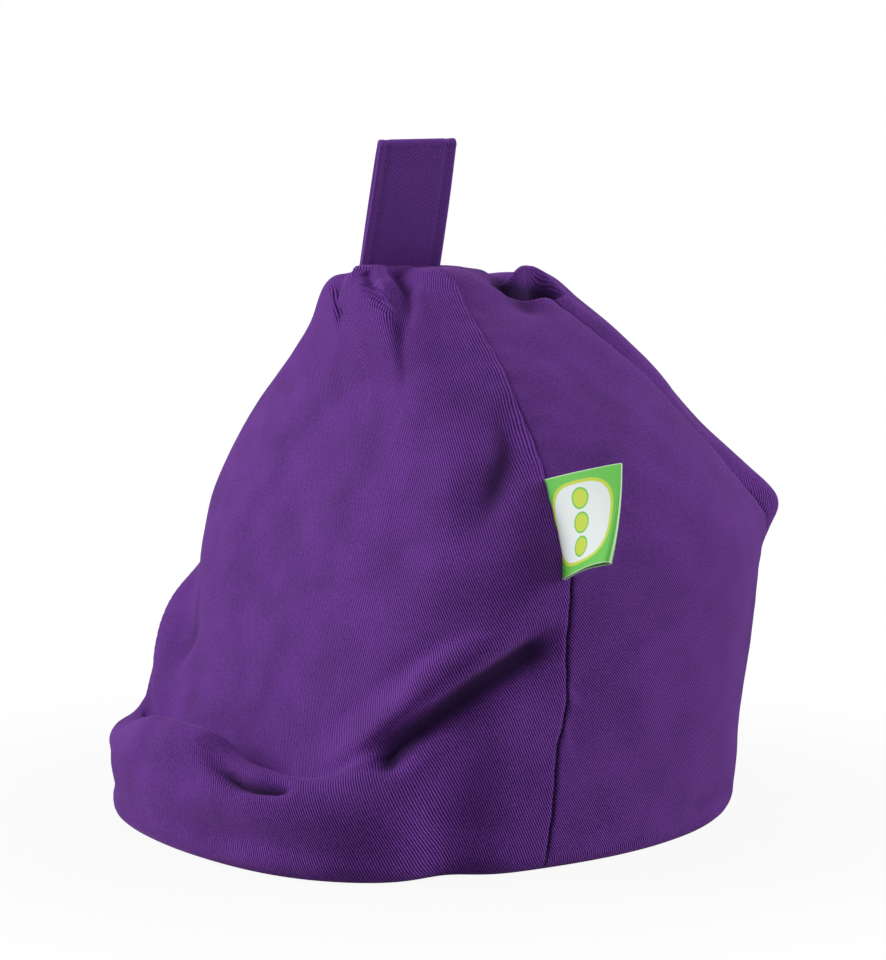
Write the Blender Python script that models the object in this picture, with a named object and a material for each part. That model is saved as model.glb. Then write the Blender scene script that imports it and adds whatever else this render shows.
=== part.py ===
"""A small bean bag that props up a thin screen, a book or a phone.

One stuffed cloth bag stands on a flat round base. Its front panel leans back from a padded lip, its
walls rise to a rounded shoulder, and its roof gathers to a carry strap. A folded ribbon label is
caught in the right side seam.

Metres, +Z up. The front faces -Y and the origin is the middle of the base.
"""

import math

import bmesh
import bpy
from mathutils import Matrix, Vector

# Clearance between pieces that touch
CLEARANCE = 0.0003

# Base and walls
BASE_EDGE_HEIGHT = 0.012
BASE_EDGE_ROUND = 0.0060
BASE_HALF_WIDTH = 0.1180
BASE_FRONT_DEPTH = 0.1155
BASE_BACK_DEPTH = 0.1370
SIDE_WALL_LEAN = 0.035
BACK_WALL_LEAN = 0.055
BASE_LOBE = 0.0085
BASE_LOBE_ANGLE = math.radians(-40.0)
BASE_LOBE_SPREAD = math.radians(24.0)
BASE_WAIST = 0.0075
BASE_WAIST_ANGLE = math.radians(-21.0)
BASE_WAIST_SPREAD = math.radians(7.0)
BASE_CREASE_HEIGHT = 0.011
BASE_CREASE_DEPTH = 0.0015

# Shoulder and roof
SHOULDER_HEIGHT = 0.116
RIM_HEIGHT = 0.213
RIM_HALF_WIDTH = 0.033
RIM_FRONT_DEPTH = 0.0142
RIM_BACK_DEPTH = 0.068
SIDE_ROOF_POWER = 1.50
BACK_ROOF_POWER = 1.42
CROWN_RISE = 0.0040

# Side seams: the plane that they lie in, and how far they sway back at mid height
SEAM_Y = -0.010
SEAM_SWAY = 0.006
SEAM_DEPTH = 0.0022
SEAM_SPREAD = math.radians(4.0)
REAR_SEAM_ANGLE = math.radians(68.0)
REAR_SEAM_DEPTH = 0.0035

# Backrest, ledge and lip. The front panel leans from its foot back to the front of the rim
BACKREST_FOOT_Y = -0.0930
LEDGE_HEIGHT = 0.0300
LEDGE_WIDTH = 0.0120
LIP_ROOT_HEIGHT = 0.0255
LIP_HEIGHT = 0.0420
LIP_END_DROP = 0.0070
LIP_BULGE = 0.0035
LIP_THICKNESS = 0.0210
LIP_FULL_ANGLE = math.radians(32.0)
LIP_END_ANGLE = math.radians(80.0)

# The lip's round section: shares of its thickness, in from its face, and of its rise
LIP_SECTION = ((0.15, 0.55), (0.50, 1.00), (0.90, 0.75))
LEDGE_SECTION = ((1.00, 0.15), (0.25, 0.00))

# The wall's stations where there is no lip, as shares of the shoulder's height
WALL_STATIONS = (0.20, 0.30, 0.41, 0.51, 0.60, 0.68, 0.77)

# Squareness of the outline seen from above: 2 is an ellipse
FRONT_SQUARENESS = 2.8
LIP_SQUARENESS = 2.2
BACK_SQUARENESS = 2.1

# Folds of the gathered top, and of the ears where the rear seams turn over the shoulder
FOLD_REACH = 0.0080
FOLD_SPREAD = 0.0125
FOLD_DROP = 0.0035
POCKET_DEPTH = 0.0110
POCKET_SPREAD = 0.0120
POCKET_SIDE = 0.0260
POCKET_BACK = 0.0330
HUMP_HEIGHT = 0.0040
HUMP_SPREAD = 0.0130
HUMP_SIDE = 0.0080
HUMP_BACK = 0.0550
RIDGE_HEIGHT = 0.0045
RIDGE_SPREAD = 0.0150
RIDGE_SIDE = 0.0140
EAR_REACH = 0.0160
EAR_SPREAD = 0.0145
EAR_RISE = 0.0140
EAR_TOP_RISE = 0.0300
EAR_LIFT = 0.0085

# Carry strap
STRAP_WIDTH = 0.0325
STRAP_THICKNESS = 0.0022
STRAP_RISE = 0.0500
STRAP_SEAT_DEPTH = 0.0100
STRAP_ROOT = 0.0010
STRAP_FOLD_RADIUS = 0.0015
STRAP_BOW = 0.0022
STRAP_BEFORE_SEAM = 0.0015
STRAP_TURN = math.radians(-18.0)
STRAP_TWIST = math.radians(14.0)
STRAP_LEAN = 0.0080
STRAP_EDGE = 0.0008
STRAP_SLOT_OVERRUN = 0.0200

# Side label
LABEL_LOW = 0.1105
LABEL_WIDTH = 0.0380
LABEL_DEPTH = 0.0330
LABEL_THICKNESS = 0.0004
LABEL_FOLD_RADIUS = 0.0004
LABEL_ROOT = 0.0006
LABEL_UPTILT = math.radians(16.0)
LABEL_LOW_SWEEP = math.radians(4.0)
LABEL_HIGH_SWEEP = math.radians(40.0)

# Mesh density
COLUMNS = 90
ROOF_STEPS = 15
STATION_STEPS = 2
CROWN_STEPS = 7
STRAP_LEG_STEPS = 14
STRAP_FOLD_STEPS = 6
LABEL_STEPS = 8
LABEL_FOLD_STEPS = 4
SMOOTH_ANGLE = math.radians(50.0)

# Cloth and ribbon colours, linear
PURPLE = (0.085, 0.026, 0.165, 1.0)
GREEN = (0.17, 0.60, 0.09, 1.0)


def smoothstep(low, high, value):
    """0 below low, 1 above high, with a soft turn between them."""
    share = max(0.0, min(1.0, (value - low) / (high - low)))
    return share * share * (3.0 - 2.0 * share)


def mix(first, second, share):
    return first + (second - first) * share


def bell(distance, spread):
    return math.exp(-((distance / spread) ** 2))


def angle_between(first, second):
    """The smallest turn between two plan angles."""
    return abs((first - second + math.pi) % (2.0 * math.pi) - math.pi)


def rounded_outline(half_width, depth, squareness, angle):
    """Reach of a rounded outline from its centre, towards a plan angle."""
    across = abs(math.cos(angle)) / half_width
    along = abs(math.sin(angle)) / depth
    return (across**squareness + along**squareness) ** (-1.0 / squareness)


def seam_y(height):
    """The side seams sway back at mid height, and the outline is centred between them."""
    rise = max(0.0, min(1.0, height / RIM_HEIGHT))
    return SEAM_Y + SEAM_SWAY * math.sin(math.pi * rise)


def wall_and_roof(height, wall, lean, rim, power):
    """Reach of an upright wall, and of the roof above the shoulder."""
    if height <= SHOULDER_HEIGHT:
        return wall + lean * height
    shoulder = wall + lean * SHOULDER_HEIGHT
    rise = (height - SHOULDER_HEIGHT) / (RIM_HEIGHT - SHOULDER_HEIGHT)
    return rim + (shoulder - rim) * (1.0 - min(1.0, rise) ** power)


def half_width(height):
    return wall_and_roof(
        height, BASE_HALF_WIDTH, SIDE_WALL_LEAN, RIM_HALF_WIDTH, SIDE_ROOF_POWER
    )


def back_depth(height):
    return wall_and_roof(
        height, BASE_BACK_DEPTH, BACK_WALL_LEAN, RIM_BACK_DEPTH, BACK_ROOF_POWER
    )


def backrest_depth(height):
    """How far the leaning front panel lies in front of the side seams."""
    rise = (height - LEDGE_HEIGHT) / (RIM_HEIGHT - LEDGE_HEIGHT)
    return seam_y(height) - mix(BACKREST_FOOT_Y, SEAM_Y - RIM_FRONT_DEPTH, rise)


def wall_reach(angle, height):
    """The bag's outline without the lip, at one height."""
    if math.sin(angle) < 0.0:
        depth = backrest_depth(height)
        return rounded_outline(half_width(height), depth, FRONT_SQUARENESS, angle)
    return rounded_outline(half_width(height), back_depth(height), BACK_SQUARENESS, angle)


def foot_lobes(angle, height):
    """The filling has settled into a lobe at the front right, with a waist beside the seam."""
    lobe = BASE_LOBE * bell(angle_between(angle, BASE_LOBE_ANGLE), BASE_LOBE_SPREAD)
    waist = BASE_WAIST * bell(angle_between(angle, BASE_WAIST_ANGLE), BASE_WAIST_SPREAD)
    return (lobe - waist) * (1.0 - smoothstep(LEDGE_HEIGHT, 0.6 * SHOULDER_HEIGHT, height))


def foot_reach(angle, height):
    """The drum that the bag stands on, which carries the lip at the front."""
    lobes = foot_lobes(angle, height)
    if math.sin(angle) >= 0.0:
        return wall_reach(angle, height) + lobes
    front = rounded_outline(half_width(height), BASE_FRONT_DEPTH, LIP_SQUARENESS, angle)
    return front + lobes


def lip_share(angle):
    """1 along the lip, 0 past its ends."""
    away = angle_between(angle, -0.5 * math.pi)
    return 1.0 - smoothstep(LIP_FULL_ANGLE, LIP_END_ANGLE, away)


def lip_stations(angle):
    """(reach, height) up the lip's front, over its crest and down to the ledge.

    Towards its ends the lip runs out of room in front of the backrest, and grows thinner and lower.
    """
    away = angle_between(angle, -0.5 * math.pi)
    outer = foot_reach(angle, LEDGE_HEIGHT) + LIP_BULGE
    rest = wall_reach(angle, LEDGE_HEIGHT)
    fit = max(0.0, min(1.0, (outer - rest) / (LIP_THICKNESS + LEDGE_WIDTH)))
    thick = LIP_THICKNESS * fit
    ledge = LEDGE_WIDTH * fit
    rise = (LIP_HEIGHT - LIP_END_DROP * smoothstep(0.0, LIP_END_ANGLE, away) - LEDGE_HEIGHT) * fit
    foot = LEDGE_HEIGHT + 0.5 * LEDGE_WIDTH
    stations = [(outer, LIP_ROOT_HEIGHT)]
    stations += [(outer - inward * thick, LEDGE_HEIGHT + up * rise) for inward, up in LIP_SECTION]
    stations += [(rest + out * ledge, LEDGE_HEIGHT + up * rise) for out, up in LEDGE_SECTION]
    stations.append((wall_reach(angle, foot), foot))
    return stations


def plain_stations(angle):
    """(reach, height) up a wall that has no lip, as many as the lip has."""
    heights = [SHOULDER_HEIGHT * share for share in WALL_STATIONS]
    return [(foot_reach(angle, height), height) for height in heights]


def foot_stations(angle):
    """(reach, height) from the flat base round its edge to the crease above it."""
    low = foot_reach(angle, BASE_EDGE_HEIGHT)
    return [
        (low - BASE_EDGE_ROUND, 0.0),
        (low - 0.30 * BASE_EDGE_ROUND, 0.16 * BASE_EDGE_HEIGHT),
        (low, 0.48 * BASE_EDGE_HEIGHT),
        (low - BASE_CREASE_DEPTH, BASE_CREASE_HEIGHT),
    ]


def lower_stations(angle):
    share = lip_share(angle)
    blended = [
        (mix(plain[0], lip[0], share), mix(plain[1], lip[1], share))
        for plain, lip in zip(plain_stations(angle), lip_stations(angle))
    ]
    return foot_stations(angle) + blended


def spline(before, start, end, after, share):
    """A smooth curve from start to end that heads along its neighbours."""
    square = share * share
    cube = square * share
    return tuple(
        0.5
        * (
            2.0 * b
            + (c - a) * share
            + (2.0 * a - 5.0 * b + 4.0 * c - d) * square
            + (3.0 * b - a - 3.0 * c + d) * cube
        )
        for a, b, c, d in zip(before, start, end, after)
    )


def column_profile(angle):
    """(reach, height) all the way up one column, from the base to the roof's rim."""
    lower = lower_stations(angle)
    start = lower[-1][1]
    upper = []
    for step in range(1, ROOF_STEPS + 1):
        height = mix(start, RIM_HEIGHT, step / ROOF_STEPS)
        upper.append((wall_reach(angle, height), height))
    knots = [lower[0]] + lower + upper[:1]
    profile = [lower[0]]
    for index in range(1, len(lower)):
        window = knots[index - 1 : index + 3]
        for step in range(1, STATION_STEPS + 1):
            profile.append(spline(*window, step / STATION_STEPS))
    return profile + upper


def seam_dip(angle, height):
    """The seams draw the cloth in, most over the roof at the two rear seams."""
    dip = 0.0
    for seam in (0.0, math.pi):
        dip += SEAM_DEPTH * bell(angle_between(angle, seam), SEAM_SPREAD)
    over_roof = smoothstep(0.5 * SHOULDER_HEIGHT, SHOULDER_HEIGHT, height)
    for seam in (REAR_SEAM_ANGLE, math.pi - REAR_SEAM_ANGLE):
        dip += REAR_SEAM_DEPTH * over_roof * bell(angle_between(angle, seam), SEAM_SPREAD)
    fade = smoothstep(0.0, BASE_CREASE_HEIGHT, height)
    return dip * fade * (1.0 - smoothstep(0.9 * RIM_HEIGHT, RIM_HEIGHT, height))


def top_place(side, back):
    """A place at the gathered top, sideways from the middle and back from the side seams."""
    return Vector((side, SEAM_Y + back, RIM_HEIGHT + 0.5 * CROWN_RISE))


def ear_place(side, rise):
    """A place just outside a rear seam, at a rise over the shoulder."""
    height = SHOULDER_HEIGHT + rise
    reach = wall_reach(REAR_SEAM_ANGLE, height) + EAR_LIFT
    across = side * reach * math.cos(REAR_SEAM_ANGLE)
    return Vector((across, seam_y(height) + reach * math.sin(REAR_SEAM_ANGLE), height))


def soft_folds():
    """(place, spread, push) of each lump and hollow of the gathered cloth."""
    up = Vector((0.0, 0.0, 1.0))
    down = Vector((0.0, 0.0, -FOLD_DROP))
    left_fold = top_place(-RIM_HALF_WIDTH, -0.75 * RIM_FRONT_DEPTH) + down
    right_fold = top_place(RIM_HALF_WIDTH, 0.70 * RIM_FRONT_DEPTH) + down
    folds = [
        # The fold in front of the strap on the left, and the fuller one on the right
        (left_fold, FOLD_SPREAD, Vector((-1.0, -0.35, 0.35)) * FOLD_REACH),
        (right_fold, FOLD_SPREAD, Vector((0.35, 0.0, 0.35)) * FOLD_REACH),
        # The pocket behind the right side panel, a shallow one on the left, and the hump behind
        (top_place(POCKET_SIDE, POCKET_BACK), POCKET_SPREAD, -1.0 * POCKET_DEPTH * up),
        (top_place(-POCKET_SIDE, POCKET_BACK), POCKET_SPREAD, -0.6 * POCKET_DEPTH * up),
        (top_place(HUMP_SIDE, HUMP_BACK), HUMP_SPREAD, HUMP_HEIGHT * up),
        # The ridge that the strap is sewn into, from one side seam to the other
        (top_place(-RIDGE_SIDE, -STRAP_BEFORE_SEAM), RIDGE_SPREAD, RIDGE_HEIGHT * up),
        (top_place(RIDGE_SIDE, -STRAP_BEFORE_SEAM), RIDGE_SPREAD, RIDGE_HEIGHT * up),
    ]
    for side in (-1.0, 1.0):
        point = Vector((0.60 * side, 0.75, 0.10)) * EAR_REACH
        shoulder = Vector((0.20 * side, 0.30, 0.0)) * EAR_REACH
        folds.append((ear_place(side, EAR_RISE), EAR_SPREAD, point))
        folds.append((ear_place(side, EAR_TOP_RISE), EAR_SPREAD, shoulder))
    return folds


def folded(point):
    """A point of the plain bag, moved by the folds near it."""
    moved = point.copy()
    for place, spread, push in soft_folds():
        moved += push * bell((point - place).length, spread)
    return moved


def crown_reaches():
    """(share of the rim's reach, share of the crown's rise) of each ring over the top."""
    rings = []
    for step in range(1, CROWN_STEPS + 1):
        turn = 0.5 * math.pi * step / (CROWN_STEPS + 0.5)
        rings.append((math.cos(turn), math.sin(turn)))
    return rings


def body_column(angle):
    """The points of one column, from the base's edge to the innermost crown ring."""
    direction = Vector((math.cos(angle), math.sin(angle), 0.0))
    points = []
    for reach, height in column_profile(angle):
        centre = Vector((0.0, seam_y(height), height))
        points.append(centre + direction * (reach - seam_dip(angle, height)))
    rim = points[-1].copy()
    middle = crown_middle()
    for reach_share, rise_share in crown_reaches():
        ring = middle.lerp(rim, reach_share)
        ring.z = RIM_HEIGHT + CROWN_RISE * rise_share
        points.append(ring)
    return [folded(point) for point in points]


def crown_middle():
    """The crown is centred between the backrest's top and the rear of the rim."""
    centre = seam_y(RIM_HEIGHT)
    front = centre - backrest_depth(RIM_HEIGHT)
    back = centre + RIM_BACK_DEPTH
    return Vector((0.0, 0.5 * (front + back), RIM_HEIGHT))


def crown_height(x, y):
    """Height of the crown's cloth over a place on the table."""
    middle = crown_middle()
    away = Vector((x - middle.x, y - middle.y))
    rim = half_width(RIM_HEIGHT)
    share = min(1.0, away.length / rim)
    height = RIM_HEIGHT + CROWN_RISE * math.sqrt(1.0 - share * share)
    return folded(Vector((x, y, height))).z


def cloth_material(name, colour, roughness):
    material = bpy.data.materials.new(name)
    material.use_nodes = True
    shader = material.node_tree.nodes["Principled BSDF"]
    shader.inputs["Base Color"].default_value = colour
    shader.inputs["Roughness"].default_value = roughness
    shader.inputs["Metallic"].default_value = 0.0
    return material


def new_object(name, mesh, material):
    mesh.materials.append(material)
    mesh.shade_smooth()
    mesh.set_sharp_from_angle(angle=SMOOTH_ANGLE)
    piece = bpy.data.objects.new(name, mesh)
    bpy.context.scene.collection.objects.link(piece)
    return piece


def mesh_from(bm, name):
    bmesh.ops.recalc_face_normals(bm, faces=bm.faces)
    mesh = bpy.data.meshes.new(name)
    bm.to_mesh(mesh)
    bm.free()
    return mesh


def join_rings(bm, rings):
    """Walls between rings of equally many vertices, and a cap on each end."""
    for lower, upper in zip(rings, rings[1:]):
        count = len(lower)
        for index in range(count):
            following = (index + 1) % count
            bm.faces.new((lower[index], lower[following], upper[following], upper[index]))


def bag_mesh():
    """The sewn bag: columns all round, a flat base and a closed crown."""
    bm = bmesh.new()
    columns = [body_column(2.0 * math.pi * index / COLUMNS) for index in range(COLUMNS)]
    rings = [[bm.verts.new(point) for point in ring] for ring in zip(*columns)]
    join_rings(bm, rings)
    bm.faces.new(rings[-1])
    inner = [Vector((vert.co.x, vert.co.y, 0.0)) * 0.5 for vert in rings[0]]
    inner_ring = [bm.verts.new(point) for point in inner]
    join_rings(bm, [inner_ring, rings[0]])
    bm.faces.new(inner_ring)
    return mesh_from(bm, "bag_body")


def strap_frame(rise_share):
    """(middle, across, along) of the strap at a share of its height over the bag."""
    turn = STRAP_TURN + STRAP_TWIST * (rise_share - 0.5)
    along = Vector((-math.sin(turn), math.cos(turn), 0.0))
    across = Vector((math.cos(turn), math.sin(turn), 0.0))
    middle = Vector((0.0, SEAM_Y - STRAP_BEFORE_SEAM + STRAP_LEAN * rise_share, 0.0))
    return middle, across, along


def strap_seat():
    """Height of the highest cloth beside the strap, where it leaves the bag."""
    middle, across, along = strap_frame(0.0)
    places = [middle + along * STRAP_WIDTH * share for share in (-0.5, -0.25, 0.0, 0.25, 0.5)]
    return max(crown_height(place.x, place.y) for place in places) + STRAP_ROOT


def strap_path():
    """(middle, across, along) up one leg, over the fold and down the other."""
    seat = strap_seat()
    top = seat + STRAP_RISE - 0.5 * STRAP_THICKNESS
    straight = top - STRAP_FOLD_RADIUS
    leg = [(seat - STRAP_SEAT_DEPTH, 0.0)]
    for step in range(STRAP_LEG_STEPS + 1):
        rise = step / STRAP_LEG_STEPS
        leg.append((mix(seat, straight, rise), rise))
    path = []
    for height, rise in leg:
        offset = STRAP_FOLD_RADIUS + STRAP_BOW * math.sin(math.pi * rise)
        path.append((height, rise, offset))
    for step in range(1, STRAP_FOLD_STEPS):
        turn = math.pi * step / STRAP_FOLD_STEPS
        offset = STRAP_FOLD_RADIUS * math.cos(turn)
        path.append((straight + STRAP_FOLD_RADIUS * math.sin(turn), 1.0, offset))
    for height, rise in reversed(leg):
        offset = STRAP_FOLD_RADIUS + STRAP_BOW * math.sin(math.pi * rise)
        path.append((height, rise, -offset))
    frames = []
    for height, rise, offset in path:
        middle, across, along = strap_frame(rise)
        frames.append((middle + across * offset + Vector((0.0, 0.0, height)), along))
    return frames


def strap_mesh():
    """The strap is one flat band with softened edges, folded along its path."""
    bm = bmesh.new()
    frames = strap_path()
    half = 0.5 * STRAP_WIDTH
    thick = 0.5 * STRAP_THICKNESS
    section = [
        (-half + STRAP_EDGE, thick),
        (half - STRAP_EDGE, thick),
        (half, 0.0),
        (half - STRAP_EDGE, -thick),
        (-half + STRAP_EDGE, -thick),
        (-half, 0.0),
    ]
    rings = []
    for index, (middle, along) in enumerate(frames):
        before = frames[max(0, index - 1)][0]
        after = frames[min(len(frames) - 1, index + 1)][0]
        outward = along.cross(after - before).normalized()
        rings.append([bm.verts.new(middle + along * a + outward * b) for a, b in section])
    join_rings(bm, rings)
    bm.faces.new(rings[0])
    bm.faces.new(rings[-1])
    return mesh_from(bm, "carry_handle")


def cut_strap_seat(bag):
    """The slot in the bag's top that the strap's two ends are sewn into."""
    middle, across, along = strap_frame(0.0)
    seat = strap_seat()
    depth = STRAP_SEAT_DEPTH + CLEARANCE
    gap_between_legs = 2.0 * STRAP_FOLD_RADIUS - STRAP_THICKNESS
    thick = 2.0 * STRAP_THICKNESS + gap_between_legs + 2.0 * CLEARANCE
    wide = STRAP_WIDTH + 2.0 * CLEARANCE
    size = Vector((thick, wide, depth + STRAP_SLOT_OVERRUN))
    bm = bmesh.new()
    bmesh.ops.create_cube(bm, size=1.0)
    bmesh.ops.scale(bm, vec=size, verts=bm.verts)
    turned = Matrix((across, along, Vector((0.0, 0.0, 1.0)))).transposed()
    bmesh.ops.transform(bm, matrix=turned.to_4x4(), verts=bm.verts)
    place = middle + Vector((0.0, 0.0, seat - depth + 0.5 * size.z))
    bmesh.ops.translate(bm, vec=place, verts=bm.verts)
    cutter = bpy.data.objects.new("strap_slot", mesh_from(bm, "strap_slot"))
    cutter.hide_render = True
    cutter.display_type = "WIRE"
    bpy.context.scene.collection.objects.link(cutter)
    slot = bag.modifiers.new("Strap slot", "BOOLEAN")
    slot.operation = "DIFFERENCE"
    slot.solver = "EXACT"
    slot.object = cutter


def seam_point(height):
    """The bottom of the right side seam's valley at one height."""
    reach = wall_reach(0.0, height) - seam_dip(0.0, height)
    return Vector((reach, seam_y(height), height))


def label_place(rise, out):
    """A point of the label, by its share up the seam and its share out from it."""
    root = seam_point(LABEL_LOW + LABEL_WIDTH * rise)
    sweep = mix(LABEL_LOW_SWEEP, LABEL_HIGH_SWEEP, rise)
    flat = math.cos(LABEL_UPTILT)
    direction = Vector(
        (flat * math.cos(sweep), flat * math.sin(sweep), math.sin(LABEL_UPTILT))
    )
    gap = CLEARANCE + LABEL_ROOT
    return root + direction * (gap + out * LABEL_DEPTH)


def label_mesh():
    """A ribbon folded in half: out from the seam, round the fold and back."""
    bm = bmesh.new()
    fold_length = (LABEL_FOLD_RADIUS + 0.5 * LABEL_THICKNESS) / LABEL_DEPTH
    leaf = [(step / LABEL_STEPS, 1.0) for step in range(LABEL_STEPS + 1)]
    fold = []
    for step in range(1, LABEL_FOLD_STEPS):
        turn = math.pi * step / LABEL_FOLD_STEPS
        fold.append((1.0 + fold_length * math.sin(turn), math.cos(turn)))
    path = leaf + fold + [(out, -1.0) for out, _ in reversed(leaf)]
    rings = []
    for row in range(LABEL_STEPS + 1):
        rise = row / LABEL_STEPS
        above = min(1.0, rise + 0.5 / LABEL_STEPS)
        below = max(0.0, rise - 0.5 / LABEL_STEPS)
        outward = label_place(rise, 1.0) - label_place(rise, 0.0)
        upward = label_place(above, 0.5) - label_place(below, 0.5)
        face = upward.cross(outward).normalized()
        outer = []
        inner = []
        for out, side in path:
            middle = label_place(rise, out)
            outer.append(middle + face * side * (LABEL_FOLD_RADIUS + 0.5 * LABEL_THICKNESS))
            shift = LABEL_THICKNESS / LABEL_DEPTH if out > 1.0 else 0.0
            within = label_place(rise, out - shift)
            inner.append(within + face * side * (LABEL_FOLD_RADIUS - 0.5 * LABEL_THICKNESS))
        rings.append([bm.verts.new(point) for point in outer + inner[::-1]])
    join_rings(bm, rings)
    bm.faces.new(rings[0])
    bm.faces.new(rings[-1])
    return mesh_from(bm, "side_label")


def clear_scene():
    for item in list(bpy.data.objects):
        bpy.data.objects.remove(item, do_unlink=True)


def build():
    clear_scene()
    purple = cloth_material("purple_twill", PURPLE, 0.85)
    green = cloth_material("green_ribbon", GREEN, 0.55)
    bag = new_object("bag_body", bag_mesh(), purple)
    cut_strap_seat(bag)
    new_object("carry_handle", strap_mesh(), purple)
    new_object("side_label", label_mesh(), green)


build()
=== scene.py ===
"""Looks of a small bean bag stand: one stuffed twill bag, its carry strap and its side ribbon."""

import math

import bmesh
import bpy
import numpy as np
from mathutils import Matrix, Vector, noise


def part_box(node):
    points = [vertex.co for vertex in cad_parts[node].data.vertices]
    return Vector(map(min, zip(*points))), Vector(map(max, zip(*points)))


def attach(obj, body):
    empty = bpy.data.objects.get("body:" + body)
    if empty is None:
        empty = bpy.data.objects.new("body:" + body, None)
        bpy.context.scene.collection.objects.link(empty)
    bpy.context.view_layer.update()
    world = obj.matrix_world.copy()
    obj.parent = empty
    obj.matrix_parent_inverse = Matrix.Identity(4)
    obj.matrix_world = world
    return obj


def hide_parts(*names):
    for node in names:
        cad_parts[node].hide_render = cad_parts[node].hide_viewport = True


MM = 0.001

# Camera
CAMERA_AT = (1.5197, -0.8586, 0.4046)
CAMERA_TOWARDS = (-0.8582, 0.4896, -0.1530)
CAMERA_LENS = 165.0
CAMERA_SENSOR = 36.0

# The bag's outline, as in its solid
BASE_HALF_WIDTH = 118.0 * MM
BASE_FRONT_DEPTH = 115.5 * MM
BASE_BACK_DEPTH = 136.0 * MM
BASE_EDGE_HEIGHT = 12.0 * MM
BASE_EDGE_ROUND = 6.0 * MM
SIDE_WALL_LEAN = 0.035
BACK_WALL_LEAN = 0.055
SHOULDER_HEIGHT = 116.0 * MM
RIM_HEIGHT = 213.0 * MM
RIM_HALF_WIDTH = 33.0 * MM
RIM_FRONT_DEPTH = 14.2 * MM
RIM_BACK_DEPTH = 68.0 * MM
RIM_ROLL = 7.0 * MM
RIM_ROLL_START = 0.82 * RIM_HEIGHT
FOOT_TOP = 0.60 * SHOULDER_HEIGHT
SIDE_ROOF_POWER = 1.50
BACK_ROOF_POWER = 1.42
CROWN_RISE = 7.5 * MM
SEAM_Y = -10.0 * MM
SEAM_SWAY = 6.0 * MM
REAR_SEAM = math.radians(68.0)
FRONT_POWER = 2.8
LIP_POWER = 2.2
BACK_POWER = 2.1

# Backrest, ledge and lip
BACKREST_FOOT_Y = -93.0 * MM
LEDGE_HEIGHT = 30.0 * MM
LEDGE_WIDTH = 12.0 * MM
LIP_ROOT_HEIGHT = 25.5 * MM
LIP_HEIGHT = 42.0 * MM
LIP_END_DROP = 7.0 * MM
LIP_BULGE = 3.5 * MM
LIP_THICKNESS = 21.0 * MM
LIP_FULL_ANGLE = math.radians(32.0)
LIP_END_ANGLE = math.radians(80.0)
LIP_SECTION = ((0.15, 0.55), (0.50, 1.00), (0.90, 0.75))
LEDGE_SECTION = ((1.00, 0.15), (0.25, 0.00))
WALL_STATIONS = (0.20, 0.30, 0.41, 0.51, 0.60, 0.68, 0.77)

# Where the filling has pushed the foot out or left it slack: plan angle, spread and push
FOOT_LOBES = (
    (math.radians(-40.0), math.radians(24.0), 8.5 * MM),
    (math.radians(-21.0), math.radians(7.0), -7.5 * MM),
    (math.radians(50.0), math.radians(30.0), -1.2 * MM),
    (math.radians(-155.0), math.radians(30.0), -2.4 * MM),
)

# How the seams wander: (height in mm, plan angle in degrees) of the right side seam and a rear seam
SIDE_SEAM_LINE = (
    (0.0, -2.0), (5.0, -2.1), (22.0, -1.4), (38.0, -1.5), (50.0, -1.5), (59.0, -0.4), (65.0, 0.0),
    (87.0, -0.8), (101.0, -0.5), (112.0, -0.5), (151.0, -0.4), (157.0, 0.3), (167.0, 0.8), (175.0, 1.3),
    (186.0, 3.1), (204.0, 5.3), (208.0, 7.9), (214.0, 10.0),
)
REAR_SEAM_LINE = (
    (0.0, 68.0), (90.0, 67.0), (112.0, 64.0), (135.0, 61.0), (165.0, 60.0), (190.0, 62.0), (213.0, 66.0),
)
SIDE_SEAM_REACH = math.radians(16.0)
REAR_SEAM_REACH = math.radians(26.0)

# Seams: the roll of the cloth in to them, their stitched line, and the valley along the two rear ones
SEAM_DEPTH = 1.6 * MM
SEAM_ROLL = 2.4 * MM
SEAM_LINE = (0.35 * MM, 1.00 * MM)
SEAM_DASH = (0.15, 0.80)
SEAM_END = (0.97 * RIM_HEIGHT, RIM_HEIGHT + 0.5 * CROWN_RISE)
REAR_SEAM_DEPTH = 3.2 * MM
REAR_SEAM_SPREAD = 6.0 * MM
REAR_SEAM_START = (0.90 * SHOULDER_HEIGHT, 1.15 * SHOULDER_HEIGHT)

# High on the right seam the front panel's edge laps over the side panel
SEAM_LAP_START = 0.60 * RIM_HEIGHT
SEAM_LAP_RISE = 1.3 * MM
SEAM_LAP_OVER = 1.0 * MM
SEAM_LAP_EDGE = (-0.4 * MM, 0.7 * MM)
SEAM_LAP_NOSE = (-0.6 * MM, 2.0 * MM)
SEAM_LAP_FADE = 13.0 * MM
SEAM_LAP_ENDS = (0.25, 0.08)

# Small puckers along every seam
PUCKER_DEPTH = 0.20 * MM
PUCKER_PITCH = 10.0 * MM
PUCKER_REACH = 8.0 * MM
PUCKER_WANDER = 1.6
PUCKER_DRIFT = 2.3 * PUCKER_PITCH

# Loose filling under the cloth: size of a lump, and how far it lifts the cloth
LUMPS = ((42.0 * MM, 1.5 * MM), (17.0 * MM, 0.45 * MM))

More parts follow.
